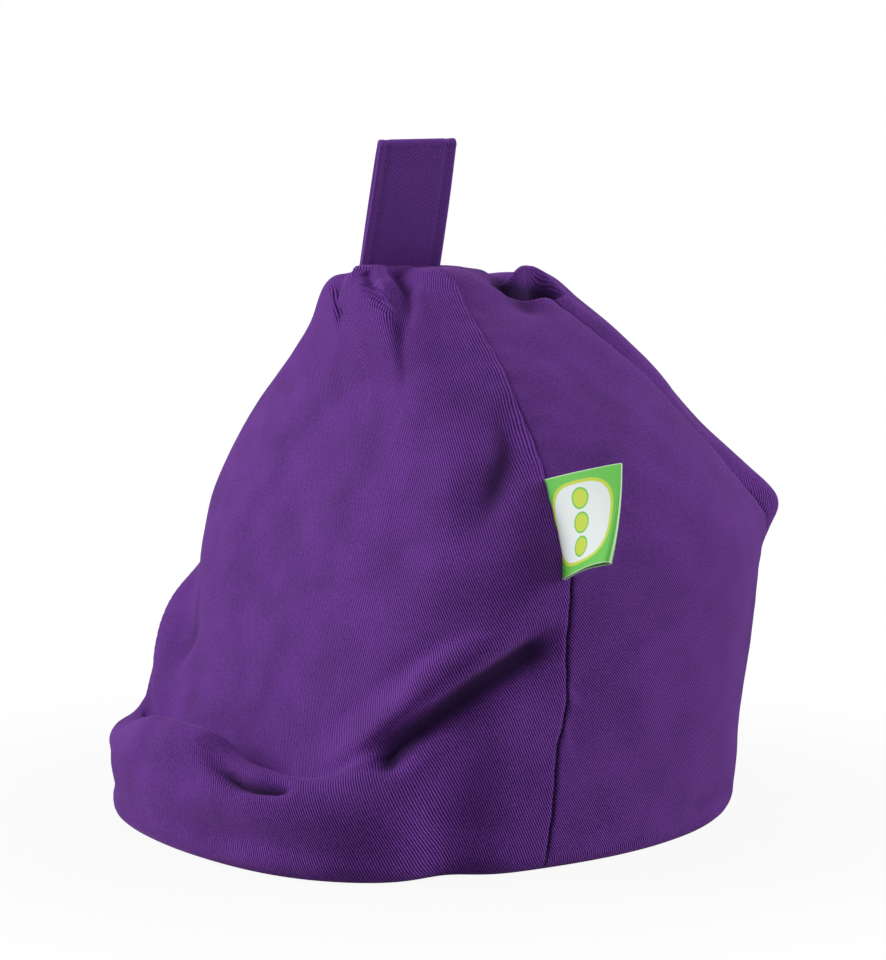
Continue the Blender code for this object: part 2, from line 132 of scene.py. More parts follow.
# Carry strap, its stitches and the slit that it stands in
STRAP_WIDTH = 32.0 * MM
STRAP_THICKNESS = 2.2 * MM
STRAP_PROUD = 1.3 * MM
STRAP_TURN = math.radians(-18.0)
STRAP_TWIST = math.radians(9.0)
STRAP_LEAN = 8.0 * MM
STRAP_Y = -11.5 * MM
STRAP_FOLD_RADIUS = 1.4 * MM
STRAP_BOW = 0.7 * MM
STRAP_ROOT = 5.0 * MM
STRAP_EDGE = 0.9 * MM
STRAP_RIPPLE = 0.35 * MM
STRAP_RIPPLE_SCALE = (90.0, 55.0)
STRAP_LEG_STEPS = 60
STRAP_FOLD_STEPS = 12
STITCH_INSET = 3.7 * MM
STITCH_PITCH = 2.7 * MM
STITCH_LENGTH = 1.8 * MM
STITCH_RADIUS = 0.24 * MM
STITCH_DIP = 0.30 * MM
SLIT_GAP = 0.4 * MM
SLIT_DEPTH = 6.0 * MM

# Side ribbon: its corners at the seam and at the fold, and how far the leaf bulges
RIBBON_ROOT_LOW = (121.2, -9.0, 112.8)
RIBBON_ROOT_MIDDLE = (115.4, -7.6, 131.0)
RIBBON_ROOT_HIGH = (103.2, -6.8, 148.6)
RIBBON_FOLD_LOW = (147.0, -5.5, 123.0)
RIBBON_FOLD_MIDDLE = (139.8, 3.2, 139.5)
RIBBON_FOLD_HIGH = (127.0, 13.0, 156.5)
RIBBON_FACE = (0.60, -0.75, 0.25)
RIBBON_BULGE = 2.2 * MM
RIBBON_LOW_LIFT = 0.6 * MM
RIBBON_THICKNESS = 0.45 * MM
RIBBON_LOOP = 1.1 * MM
RIBBON_LOOP_SHARES = (1.7, 0.45)
RIBBON_STEPS = (25, 22, 11)
RIBBON_CUT = (38.0 * MM, 68.0 * MM)

# The ribbon's design, in mm. The middle and the painted highlight along the fold are shares of its length,
# the frame and the field's edge are shares of the field's reach, and the power rounds the field's corners.
FIELD_MIDDLE = 0.228
FIELD_REACH = (15.4, 15.8)
FIELD_POWER = 3.0
FIELD_FRAME = (0.92, 0.95)
FIELD_EDGE = (1.00, 1.03)
DISC_HALF_PITCH = 4.6
DISC_RING = (4.0, 4.2)
DISC_FILL = (3.3, 3.5)
DISC_ROW = (13.6, 13.8)
RIBBON_SIDE_EDGE = (18.55, 18.80)
RIBBON_FOLD_HIGHLIGHT = (0.490, 0.497)
RIBBON_THREAD_PITCH = (0.50, 0.35)

# Soft lumps and hollows of the gathered top, the lip and the foot, in mm: place, spread and push
SOFT_PUSHES = (
    ((-33.0, -20.7, 211.5), 12.5, (-4.5, -1.5, 1.0)),
    ((24.0, 0.0, 216.0), 10.0, (0.5, 0.0, 5.0)),
    ((33.0, 27.0, 210.0), 9.0, (-1.0, 0.0, -4.5)),
    ((8.0, 45.0, 215.0), 12.0, (0.0, 0.0, 4.5)),
    ((-26.0, 23.0, 215.0), 12.0, (0.0, 0.0, -6.6)),
    ((-14.0, -11.5, 216.5), 13.0, (0.0, 0.0, 2.0)),
    ((19.0, 62.0, 205.0), 9.0, (0.0, -0.5, -1.5)),
    ((12.0, 53.0, 213.0), 8.0, (0.0, -0.5, -3.0)),
    ((-75.0, -85.0, 38.0), 25.0, (0.5, 0.5, -2.0)),
    ((-85.0, -90.0, 12.0), 22.0, (1.4, 1.0, 0.0)),
)

# The ears of the rear shoulders: how far outside the cloth they are centred, their spread,
# and for each its rise over the shoulder and its push in mm
EAR_LIFT = 8.5 * MM
EAR_SPREAD = 14.5 * MM
EARS = (
    (11.0 * MM, (7.2, 9.0, 0.5)),
    (28.0 * MM, (1.2, 1.8, 0.0)),
    (46.0 * MM, (-2.4, -3.2, -1.0)),
)

# Furrows (push under 0) and ridges, in mm: places along the line, width, push, and how soon each end comes in
FURROWS = (
    (
        ((99, -80, 44), (102, -61, 56), (110, -47, 69), (115, -33, 79), (120, -18, 86), (121, -5, 90)),
        7.0, -8.0, (0.1, 0.2),
    ),
    (((98, -72, 62), (107, -57, 76), (113, -42, 88), (119, -26, 97), (121, -10, 103)), 9.0, 3.6, (0.3, 0.4)),
    (((100, -76, 34), (112, -52, 50), (119, -28, 62), (121, -12, 66)), 9.0, 1.8, (0.3, 0.4)),
    (
        ((66, -14, 190), (74, -13, 180), (91, -16, 163), (101, -30, 143), (105, -40, 117)),
        8.0, -5.0, (0.5, 0.4),
    ),
    (
        ((-1, -26, 219), (10, -30, 216), (18, -32, 212), (23, -31, 209), (28, -31, 205), (34, -34, 197)),
        1.5, -4.0, (0.1, 0.5),
    ),
    (
        ((-45, -112, 41), (-10, -116, 42), (20, -114, 42), (38, -109, 41), (54, -103, 40)),
        9.0, 7.0, (0.4, 0.3),
    ),
    (((111, -73, 24), (112, -44, 20), (119, -15, 19)), 8.0, -1.8, (0.3, 0.4)),
    (((119, -5, 66), (120, 9, 77), (119, 27, 86), (115, 48, 99)), 6.0, -1.9, (0.1, 0.6)),
    (((120, -6, 50), (119, 12, 56), (117, 32, 64)), 7.0, -1.3, (0.1, 0.6)),
    (((69, 101, 12), (96, 71, 10), (112, 40, 5)), 5.0, -2.2, (0.2, 0.5)),
    (((-40, -121, 24), (-70, -103, 22), (-92, -74, 22)), 5.0, -2.4, (0.3, 0.3)),
    (
        ((31, -113, 38), (50, -115, 36), (63, -111, 33), (74, -106, 33), (82, -101, 33)),
        2.7, -8.5, (0.5, 0.15),
    ),
    (((30, 18, 214), (15, 27, 217), (0, 36, 217), (-16, 45, 213)), 5.0, -7.0, (0.15, 0.3)),
    (((0, -127, 15), (40, -122, 14), (72, -109, 14), (98, -82, 14)), 6.0, -2.2, (0.4, 0.4)),
    (((3, -15, 220), (20, -20, 215), (30, -23, 206), (38, -28, 190)), 4.0, -4.0, (0.1, 0.5)),
    (((12, -6, 220), (28, -13, 213), (40, -18, 200), (52, -24, 185)), 7.0, 1.6, (0.2, 0.5)),
    (((-6, 8, 219), (-16, 24, 214), (-24, 44, 205)), 4.0, -2.2, (0.1, 0.6)),
    (((2, 12, 219), (0, 34, 215), (-4, 60, 208), (-10, 86, 186)), 4.5, -2.6, (0.1, 0.6)),
    (((-10, -8, 219), (-26, -2, 214), (-46, 6, 200)), 4.5, -2.4, (0.1, 0.6)),
    (((-8, -18, 219), (-24, -16, 214), (-44, -16, 200)), 4.0, -2.0, (0.1, 0.6)),
    (((-60, -90, 60), (-84, -62, 84), (-100, -36, 96)), 12.0, -4.0, (0.2, 0.4)),
    (((-30, 128, 60), (-64, 104, 76), (-98, 66, 84)), 14.0, -2.2, (0.4, 0.4)),
)

# Pleats, in mm: places along the middle, half width, rise, softness of the left and right edge, overhang,
# and how soon each end comes in
PLEATS = (
    (
        ((-8, -26, 219), (0, -30, 215), (10, -33, 210), (20, -36, 201), (30, -40, 188), (36, -44, 172)),
        10.5, 3.0, (2.5, 0.6), 2.0, (0.12, 0.40),
    ),
    (
        ((-24, -24, 215), (-17, -30, 211), (-10, -34, 204), (-4, -37, 196)),
        3.5, -3.5, (2.5, 1.4), 0.0, (0.3, 0.5),
    ),
    (
        ((17, 20, 216), (21, 30, 213), (20, 41, 213), (14, 53, 214)),
        7.0, -18.0, (5.5, 2.2), 0.0, (0.22, 0.22),
    ),
)

# Twill: the width of a rib and of a yarn along it, the ribs' turn from level, and how they wander
WALE = 0.86 * MM
YARN = 0.80 * MM
YARN_STEP = 0.37
YARN_SHARE = 0.22
RIB_TURN = math.radians(54.0)
RIB_HEIGHT = 0.28 * MM
RIB_MIDDLE = 0.45
RIB_WANDER = 0.5
RIB_WANDER_SCALE = 60.0
STRAP_RIBS = 0.45

# Unevenness of the yarn and of the dye, and how light it and the ribs make the cloth
SLUB_SCALE = 900.0
CLOUD_SCALE = 45.0
SLUB_SHARE = 0.60
UNEVEN_LIGHT = 0.9
RIB_LIGHT = (0.12, -0.10)

# Fainter ribs, each with where it starts and where it is full: painted fainter high on the rear shoulders,
# where the light runs along the ribs, and on the front's left and middle, where a raised nap hides some of
# them
PAINTED_FAINT_RIB_HEIGHT = (105.0 * MM, 150.0 * MM)
PAINTED_FAINT_RIB_DEPTH = (-20.0 * MM, 15.0 * MM)
PAINTED_FAINT_RIB_SHARE = 0.60
FRONT_NAP_DEPTH = (-25.0 * MM, -45.0 * MM)
FRONT_NAP_WIDTH = (70.0 * MM, 20.0 * MM)
FRONT_NAP_HEIGHT = (190.0 * MM, 168.0 * MM)
FRONT_NAP_SHARE = 0.72

# Painted shade in the folds: how far in a fold it starts and is darkest, how dark it gets, and how much rib
# it hides
PAINTED_FOLD_SHADE_DEPTHS = (1.4 * MM, 6.5 * MM)
PAINTED_FOLD_SHADE_SHARE = 0.90
PAINTED_FOLD_SHADE_RIB_LOSS = 0.65

# Finish and colours
CLOTH_ROUGHNESS = 0.82
CLOTH_SPECULAR = 0.10
SHEEN_WEIGHT = 0.32
SHEEN_ROUGHNESS = 0.45
SHEEN_TINT = (0.66, 0.25, 0.92)
BAG_RIB = (0.265, 0.069, 0.525)
BAG_GROOVE = (0.004, 0.001, 0.014)
STRAP_RIB = (0.190, 0.058, 0.375)
STRAP_GROOVE = (0.096, 0.028, 0.190)
# Dark thread, whose colour is also the painted shade in the folds
THREAD_AND_FOLD_SHADE = (0.016, 0.006, 0.036)
RIBBON_GREEN = (0.135, 0.600, 0.070)
RIBBON_LIME = (0.600, 0.740, 0.045)
RIBBON_WHITE = (0.860, 0.930, 0.910)
# The ribbon's pale cut edges, and the painted highlight along its fold
RIBBON_CUT_EDGE_AND_FOLD_HIGHLIGHT = (0.620, 0.850, 0.540)

# Surround, and lights: name, place, watts and size
LIGHTS_AIM = (0.0, 0.0, 0.12)
FLOOR_SIZE = 40.0
WORLD_STRENGTH = 0.28
FLOOR_TONE = 0.42
FLOOR_CLEAR = (0.93, 1.0)
FLOOR_FADE = (0.13, 0.32)
LIGHTS = (
    ("left", (-1.1, -1.9, 1.3), 50.0, 1.2),
    ("right", (1.3, 2.2, 1.0), 42.0, 1.2),
    ("top", (0.5, -0.2, 2.3), 4.0, 1.0),
)

# Mesh: columns in each panel, rows up each column, how far they crowd to seams and top, the base's rings,
# and a column's knots over the roof and the crown
PANEL_COLUMNS = (150, 84, 44, 84)
ROWS = 256
COLUMN_EASE = 0.62
ROW_EASE = 0.50
BASE_RINGS = (0.05, 0.45, 0.80, 0.95)
ROOF_STATIONS = 16
CROWN_SHARES = (0.25, 0.50, 0.75, 1.00)

# Panels laid flat for the weave: plan angle of each middle, -1 where the ribs lean the other way,
# how far to each side of its middle a panel is laid out, and in how many steps
PANEL_MIDDLES = (-0.5 * math.pi, 0.5 * REAR_SEAM, 0.5 * math.pi, math.pi - 0.5 * REAR_SEAM)
PANEL_SIDES = (1.0, 1.0, -1.0, 1.0)
PANEL_TURN = 1.8
PANEL_TURN_STEPS = 361
PANEL_RISE_STEPS = 160


def smooth(low, high, value):
    """0 below low, 1 above high, with a soft turn between them."""
    share = np.clip((value - low) / (high - low), 0.0, 1.0)
    return share * share * (3.0 - 2.0 * share)


def mix(first, second, share):
    return first + (second - first) * share


def bell(distance, spread):
    return np.exp(-((distance / spread) ** 2))


def turn_between(first, second):
    """The smallest turn between plan angles."""
    return np.abs((first - second + math.pi) % (2.0 * math.pi) - math.pi)


def outline(half_width, depth, power, angle):
    """Reach of a rounded outline from its centre, towards a plan angle."""
    across = np.abs(np.cos(angle)) / half_width
    along = np.abs(np.sin(angle)) / depth
    return (across**power + along**power) ** (-1.0 / power)


def seam_y(height):
    return SEAM_Y + SEAM_SWAY * np.sin(math.pi * np.clip(height / RIM_HEIGHT, 0.0, 1.0))


def wall_and_roof(height, wall, lean, rim, power):
    shoulder = wall + lean * SHOULDER_HEIGHT
    rise = np.clip((height - SHOULDER_HEIGHT) / (RIM_HEIGHT - SHOULDER_HEIGHT), 0.0, 1.0)
    upright = wall + lean * np.minimum(height, SHOULDER_HEIGHT)
    return upright - (shoulder - rim) * rise**power


def half_width(height):
    return wall_and_roof(height, BASE_HALF_WIDTH, SIDE_WALL_LEAN, RIM_HALF_WIDTH, SIDE_ROOF_POWER)


def back_depth(height):
    return wall_and_roof(height, BASE_BACK_DEPTH, BACK_WALL_LEAN, RIM_BACK_DEPTH, BACK_ROOF_POWER)


def backrest_depth(height):
    rise = (height - LEDGE_HEIGHT) / (RIM_HEIGHT - LEDGE_HEIGHT)
    flat = seam_y(height) - mix(BACKREST_FOOT_Y, SEAM_Y - RIM_FRONT_DEPTH, rise)
    return flat + RIM_ROLL * smooth(RIM_ROLL_START, RIM_HEIGHT, height)


def wall_reach(angle, height):
    """The bag's outline without the lip, at one height."""
    if math.sin(angle) < 0.0:
        return outline(half_width(height), backrest_depth(height), FRONT_POWER, angle)
    return outline(half_width(height), back_depth(height), BACK_POWER, angle)


def foot_reach(angle, height):
    """The drum that the bag stands on, which carries the lip at the front."""
    fade = 1.0 - smooth(LEDGE_HEIGHT, FOOT_TOP, height)
    lobes = sum(push * bell(turn_between(angle, at), spread) for at, spread, push in FOOT_LOBES)
    if math.sin(angle) >= 0.0:
        return wall_reach(angle, height) + lobes * fade
    return outline(half_width(height), BASE_FRONT_DEPTH, LIP_POWER, angle) + lobes * fade


def lip_stations(angle):
    """(reach, height) up the lip's front, over its crest and down to the ledge."""
    away = turn_between(angle, -0.5 * math.pi)
    outer = foot_reach(angle, LEDGE_HEIGHT) + LIP_BULGE
    rest = wall_reach(angle, LEDGE_HEIGHT)
    fit = np.clip((outer - rest) / (LIP_THICKNESS + LEDGE_WIDTH), 0.0, 1.0)
    thick = LIP_THICKNESS * fit
    ledge = LEDGE_WIDTH * fit
    rise = (LIP_HEIGHT - LIP_END_DROP * smooth(0.0, LIP_END_ANGLE, away) - LEDGE_HEIGHT) * fit
    foot = LEDGE_HEIGHT + 0.5 * LEDGE_WIDTH
    stations = [(outer, LIP_ROOT_HEIGHT)]
    stations += [(outer - inward * thick, LEDGE_HEIGHT + up * rise) for inward, up in LIP_SECTION]
    stations += [(rest + out * ledge, LEDGE_HEIGHT + up * rise) for out, up in LEDGE_SECTION]
    stations.append((wall_reach(angle, foot), foot))
    return np.array(stations)


def lower_stations(angle):
    """(reach, height) from the base's edge up the foot, and over the lip where there is one."""
    away = turn_between(angle, -0.5 * math.pi)
    share = 1.0 - smooth(LIP_FULL_ANGLE, LIP_END_ANGLE, away)
    heights = [SHOULDER_HEIGHT * station for station in WALL_STATIONS]
    plain = np.array([(foot_reach(angle, height), height) for height in heights])
    low = foot_reach(angle, BASE_EDGE_HEIGHT)
    foot = [
        (low - BASE_EDGE_ROUND, 0.0),
        (low - 0.30 * BASE_EDGE_ROUND, 0.16 * BASE_EDGE_HEIGHT),
        (low, 0.52 * BASE_EDGE_HEIGHT),
        (low, 0.95 * BASE_EDGE_HEIGHT),
    ]
    return np.vstack([foot, mix(plain, lip_stations(angle), share)])


def slit_point(angle, height):
    """A point beside the strap, where the cloth turns in to it."""
    turn = angle - STRAP_TURN
    across = np.array((math.cos(STRAP_TURN), math.sin(STRAP_TURN), 0.0))
    along = np.array((-across[1], across[0], 0.0))
    half_long = 0.5 * STRAP_WIDTH + SLIT_GAP
    half_thick = STRAP_THICKNESS + 1.5 * SLIT_GAP
    reach = outline(half_thick, half_long, 4.0, turn)
    middle = np.array((0.0, STRAP_Y, height))
    return middle + across * reach * math.cos(turn) + along * reach * math.sin(turn)


def seam_turn(angle, height):
    """How far a column turns at one height, so that the seams wander as they were sewn."""
    heights, angles = np.array(SIDE_SEAM_LINE).T
    side = math.radians(np.interp(height / MM, heights, angles))
    turn = side * bell(turn_between(angle, 0.0), SIDE_SEAM_REACH)
    heights, angles = np.array(REAR_SEAM_LINE).T
    rear = math.radians(np.interp(height / MM, heights, angles)) - REAR_SEAM
    turn += rear * bell(turn_between(angle, REAR_SEAM), REAR_SEAM_REACH)
    return turn - rear * bell(turn_between(angle, math.pi - REAR_SEAM), REAR_SEAM_REACH)


def column_knots(angle):
    """Points of one column, from the base's edge up the wall and over the crown to the strap."""
    stations = lower_stations(angle)
    roof = np.linspace(stations[-1][1], RIM_HEIGHT, ROOF_STATIONS)[1:]
    heights = [height for _, height in stations] + list(roof)
    knots = []
    for index, height in enumerate(heights):
        turned = angle + seam_turn(angle, height)
        reach = lower_stations(turned)[index][0] if index < len(stations) else wall_reach(turned, height)
        level = lower_stations(turned)[index][1] if index < len(stations) else height
        direction = np.array((math.cos(turned), math.sin(turned), 0.0))
        knots.append(np.array((0.0, seam_y(level), level)) + direction * reach)
    rim = knots[-1]
    slit = slit_point(angle + seam_turn(angle, RIM_HEIGHT), RIM_HEIGHT + CROWN_RISE)
    for share in CROWN_SHARES:
        point = mix(rim, slit, share)
        point[2] = RIM_HEIGHT + CROWN_RISE * math.sin(0.5 * math.pi * share)
        knots.append(point)
    knots.append(slit - np.array((0.0, 0.0, SLIT_DEPTH)))
    return np.array(knots)


def smooth_curve(knots, steps=8):
    """A curve through the knots, close enough for its length to be read."""
    padded = np.vstack([2.0 * knots[0] - knots[1], knots, 2.0 * knots[-1] - knots[-2]])
    share = np.linspace(0.0, 1.0, steps, endpoint=False)[:, None]
    points = []
    for index in range(1, len(padded) - 2):
        a, b, c, d = padded[index - 1 : index + 3]
        bend = (2.0 * a - 5.0 * b + 4.0 * c - d) * share**2 + (3.0 * b - a - 3.0 * c + d) * share**3
        points.append(0.5 * (2.0 * b + (c - a) * share + bend))
    return np.vstack(points + [knots[-1:]])


def crowded(points, count):
    """The curve again as so many points, closest together at its upper end."""
    lengths = np.linalg.norm(np.diff(points, axis=0), axis=1)
    along = np.concatenate([[0.0], np.cumsum(lengths)])
    share = np.linspace(0.0, 1.0, count)
    wanted = along[-1] * (share + ROW_EASE * share * (1.0 - share))
    return np.stack([np.interp(wanted, along, points[:, axis]) for axis in range(3)], axis=1)


def column_angles():
    """Plan angles of the columns, closest together at the seams."""
    seams = (-math.pi, 0.0, REAR_SEAM, math.pi - REAR_SEAM, math.pi)
    angles = []
    for count, start, end in zip(PANEL_COLUMNS, seams, seams[1:]):
        share = np.arange(count) / count
        share = share - COLUMN_EASE * np.sin(2.0 * math.pi * share) / (2.0 * math.pi)
        angles.append(mix(start, end, share))
    return np.concatenate(angles)


def bag_grid():
    """The bag's smooth surface, as columns of rows of points."""
    return np.array([crowded(smooth_curve(column_knots(angle)), ROWS) for angle in column_angles()])


def grid_normals(grid):
    across = np.roll(grid, -1, axis=0) - np.roll(grid, 1, axis=0)
    upward = np.gradient(grid, axis=1)
    normals = np.cross(across, upward)
    return normals / np.maximum(np.linalg.norm(normals, axis=2, keepdims=True), 1e-12)


def seam_columns():
    """Index of the column in each seam: left, right, rear right and rear left."""
    return np.concatenate([[0], np.cumsum(PANEL_COLUMNS)[:-1]])


def seam_distance(rest, index):
    """How far each point lies along its row from one seam's column."""
    steps = np.linalg.norm(np.roll(rest, -1, axis=0) - rest, axis=2)
    along = np.concatenate([np.zeros((1, rest.shape[1])), np.cumsum(np.roll(steps, -index, axis=0), axis=0)])
    nearest = np.minimum(along[:-1], along[-1:] - along[:-1])
    return np.roll(nearest, index, axis=0)


def height_up_cloth(rest):
    """How far each point lies up its column, over the cloth."""
    steps = np.linalg.norm(np.diff(rest, axis=1), axis=2)
    return np.concatenate([np.zeros((len(rest), 1)), np.cumsum(steps, axis=1)], axis=1)


def seam_roll(rest, normals):
    """The cloth rolls in to every seam, with small puckers along it."""
    height = rest[:, :, 2]
    up = height_up_cloth(rest)
    drop = np.zeros(height.shape)
    for number, index in enumerate(seam_columns()):
        away = seam_distance(rest, index)
        share = np.clip(1.0 - away / SEAM_ROLL, 0.0, 1.0)
        drop += SEAM_DEPTH * (1.0 - np.sqrt(1.0 - share**2))
        wander = PUCKER_WANDER * np.sin(up / PUCKER_DRIFT + number)
        pucker = np.sin(2.0 * math.pi * up / PUCKER_PITCH + wander)
        drop += PUCKER_DEPTH * pucker * bell(away, PUCKER_REACH)
    over_roof = smooth(*REAR_SEAM_START, height)
    for index in seam_columns()[2:]:
        drop += REAR_SEAM_DEPTH * bell(seam_distance(rest, index), REAR_SEAM_SPREAD) * over_roof
    drop *= smooth(0.0, BASE_EDGE_HEIGHT, height)
    drop *= 1.0 - smooth(*SEAM_END, height)
    return -normals * drop[:, :, None]


def loose_filling(rest, normals):
    """Broad uneven lumps, fading out at the foot and at the strap."""
    flat = rest.reshape(-1, 3)
    lift = np.zeros(len(flat))
    for size, push in LUMPS:
        lift += push * np.array([noise.noise(Vector(point) / size) for point in flat])
    height = flat[:, 2]
    lift *= smooth(0.0, BASE_EDGE_HEIGHT, height)
    lift *= 1.0 - smooth(RIM_HEIGHT, RIM_HEIGHT + CROWN_RISE, height)
    return normals * lift.reshape(rest.shape[:2])[:, :, None]


def on_cloth(rest, points):
    """The cloth's own points nearest to rough places in millimetres, as a smooth line."""
    flat = rest.reshape(-1, 3)
    places = [flat[np.argmin(np.linalg.norm(flat - np.array(point) * MM, axis=1))] for point in points]
    return smooth_curve(np.array(places), 6)


def beside_line(rest, normals, line):
    """(distance, signed distance to the right, right-hand direction, share along) for every point."""
    away = np.full(rest.shape[:2], 1.0)
    share = np.zeros(rest.shape[:2])
    offset = np.zeros(rest.shape)
    heading = np.zeros(rest.shape)
    lengths = np.linalg.norm(np.diff(line, axis=0), axis=1)
    before = np.concatenate([[0.0], np.cumsum(lengths)])
    tangents = np.gradient(line, axis=0)
    tangents /= np.linalg.norm(tangents, axis=1, keepdims=True)
    for index, length in enumerate(lengths):
        direction = (line[index + 1] - line[index]) / length
        along = np.clip((rest - line[index]) @ direction, 0.0, length)
        from_line = rest - (line[index] + along[:, :, None] * direction)
        distance = np.linalg.norm(from_line, axis=2)
        closer = distance < away
        part = (along / length)[:, :, None]
        away = np.where(closer, distance, away)
        share = np.where(closer, (before[index] + along) / before[-1], share)
        offset = np.where(closer[:, :, None], from_line, offset)
        heading = np.where(closer[:, :, None], mix(tangents[index], tangents[index + 1], part), heading)
    right = np.cross(heading, normals)
    right /= np.maximum(np.linalg.norm(right, axis=2, keepdims=True), 1e-12)
    return away, np.einsum("ijk,ijk->ij", offset, right), right, share


def end_fade(share, ends):
    return smooth(0.0, ends[0], share) * smooth(0.0, ends[1], 1.0 - share)


def furrow(rest, normals, points, width, push, ends):
    """A valley, or a ridge where push is over 0, along a line."""
    away, _, _, share = beside_line(rest, normals, on_cloth(rest, points))
    return normals * (push * bell(away, width) * end_fade(share, ends))[:, :, None]


def pleat(rest, normals, points, half, rise, edges, over, ends):
    """A flat fold or trench along a line, with crisp edges that may hang over the cloth beside it."""
    away, right, sideways, share = beside_line(rest, normals, on_cloth(rest, points))
    left_edge = smooth(-half - edges[0], -half + edges[0], right)
    right_edge = 1.0 - smooth(half - edges[1], half + edges[1], right)
    strength = left_edge * right_edge * end_fade(share, ends) * (away < 2.5 * half + sum(edges))
    lean = over * strength * (bell(right - half, 2.0 * edges[1]) - bell(right + half, 2.0 * edges[0]))
    return normals * (rise * strength)[:, :, None] + sideways * lean[:, :, None]


def seam_lap(rest, normals):
    """High on the right seam, the front panel's edge lies over the side panel."""
    column = rest[PANEL_COLUMNS[0]]
    line = column[column[:, 2] > SEAM_LAP_START][::4]
    away, right, sideways, share = beside_line(rest, normals, line)
    inward = 1.0 - smooth(0.15 * SEAM_LAP_FADE, SEAM_LAP_FADE, -right)
    raised = smooth(*SEAM_LAP_EDGE, -right) * inward
    raised = raised * end_fade(share, SEAM_LAP_ENDS) * (away < 1.5 * SEAM_LAP_FADE)
    lean = SEAM_LAP_OVER * raised * bell(right - SEAM_LAP_NOSE[0], SEAM_LAP_NOSE[1])
    return normals * (SEAM_LAP_RISE * raised)[:, :, None] + sideways * lean[:, :, None]


def soft_push(rest, place, spread, push):
    """A push that fades away around a place, all in metres."""
    return bell(np.linalg.norm(rest - place, axis=2), spread)[:, :, None] * push


def ear_place(side, rise):
    """A place just outside a rear seam, at a rise over the shoulder."""
    height = SHOULDER_HEIGHT + rise
    reach = wall_reach(REAR_SEAM, height) + EAR_LIFT
    back = seam_y(height) + reach * math.sin(REAR_SEAM)
    return np.array((side * reach * math.cos(REAR_SEAM), back, height))


def folded_cloth(rest):
    """The smooth bag with its seams, lumps, furrows and pleats, each measured on the smooth bag."""
    normals = grid_normals(rest)
    moved = rest + seam_roll(rest, normals) + loose_filling(rest, normals) + seam_lap(rest, normals)
    for place, spread, push in SOFT_PUSHES:
        moved += soft_push(rest, np.array(place) * MM, spread * MM, np.array(push) * MM)
    for side in (-1.0, 1.0):
        for rise, push in EARS:
            outward = np.array((side, 1.0, 1.0)) * np.array(push) * MM
            moved += soft_push(rest, ear_place(side, rise), EAR_SPREAD, outward)
    for points, width, push, ends in FURROWS:
        moved += furrow(rest, normals, points, width * MM, push * MM, ends)
    for points, half, rise, edges, over, ends in PLEATS:
        edges = (edges[0] * MM, edges[1] * MM)
        moved += pleat(rest, normals, points, half * MM, rise * MM, edges, over * MM, ends)
    moved[:, :, 2] = np.maximum(moved[:, :, 2], 0.0)
    return moved


def between_cells(table, row, column):
    """A table's value at places between its cells."""
    top = np.clip(row.astype(int), 0, table.shape[0] - 2)
    left = np.clip(column.astype(int), 0, table.shape[1] - 2)
    upper = mix(table[top, left], table[top, left + 1], column - left)
    lower = mix(table[top + 1, left], table[top + 1, left + 1], column - left)
    return mix(upper, lower, row - top)


def panel_map(points, middle):
    """The cloth laid flat from a panel's middle line: (round the wall, up the wall) in metres."""
    offsets = np.linspace(-PANEL_TURN, PANEL_TURN, PANEL_TURN_STEPS)
    heights = np.linspace(0.0, RIM_HEIGHT, PANEL_RISE_STEPS)
    walls = np.array([wall_reach(middle + offset, heights) for offset in offsets])
    edge = np.stack([walls * np.cos(offsets)[:, None], walls * np.sin(offsets)[:, None]])
    around = np.cumsum(np.linalg.norm(np.diff(edge, axis=1, prepend=edge[:, :1]), axis=0), axis=0)
    around -= around[len(offsets) // 2]
    slope = np.hypot(np.diff(walls, axis=1, prepend=walls[:, :1]), np.diff(heights, prepend=0.0))
    upward = np.cumsum(slope, axis=1)
    x, y = points[:, :, 0], points[:, :, 1] - seam_y(points[:, :, 2])
    offset = (np.arctan2(y, x) - middle + math.pi) % (2.0 * math.pi) - math.pi
    row = np.clip((offset + PANEL_TURN) / (2.0 * PANEL_TURN), 0.0, 1.0) * (len(offsets) - 1)
    column = np.clip(points[:, :, 2] / RIM_HEIGHT, 0.0, 1.0) * (len(heights) - 1)
    reach, wall = np.hypot(x, y), between_cells(walls, row, column)
    rise = between_cells(upward, row, column) - (reach - wall)
    return np.stack([between_cells(around, row, column) * reach / wall, rise], axis=2)


def weave_map(rest):
    """Each panel's flat coordinates in metres, for the four corners of every quad between the columns."""
    pieces = []
    for start, count, middle, side in zip(seam_columns(), PANEL_COLUMNS, PANEL_MIDDLES, PANEL_SIDES):
        columns = np.arange(start, start + count + 1) % len(rest)
        flat = panel_map(rest[columns], middle) * np.array((side, 1.0))
        before, after = flat[:-1], flat[1:]
        pieces.append(np.stack([before[:, :-1], after[:, :-1], after[:, 1:], before[:, 1:]], axis=2))
    return np.concatenate(pieces).transpose(1, 0, 2, 3).reshape(-1, 2)


def set_map(mesh, name, coordinates):
    """A map with the given coordinates on the mesh's first corners, and zero on the rest."""
    filled = np.zeros((len(mesh.loops), 2), dtype=np.float32)
    filled[: len(coordinates)] = coordinates
    mesh.uv_layers.new(name=name).data.foreach_set("uv", filled.ravel())


def set_values(mesh, name, values, below):
    """A number for every point of the grid, row by row, and for the base's points after them."""
    layer = mesh.attributes.new(name, "FLOAT", "POINT")
    layer.data.foreach_set("value", np.concatenate([values.T.ravel(), below]).astype(np.float32))


def link_piece(name, mesh):
    piece = bpy.data.objects.new(name, mesh)
    bpy.context.scene.collection.objects.link(piece)
    return piece


def ring_faces(bm, lower, upper):
    """Quads between two closed rings of points."""
    for index in range(len(lower)):
        after = (index + 1) % len(lower)
        bm.faces.new((lower[index], lower[after], upper[after], upper[index]))


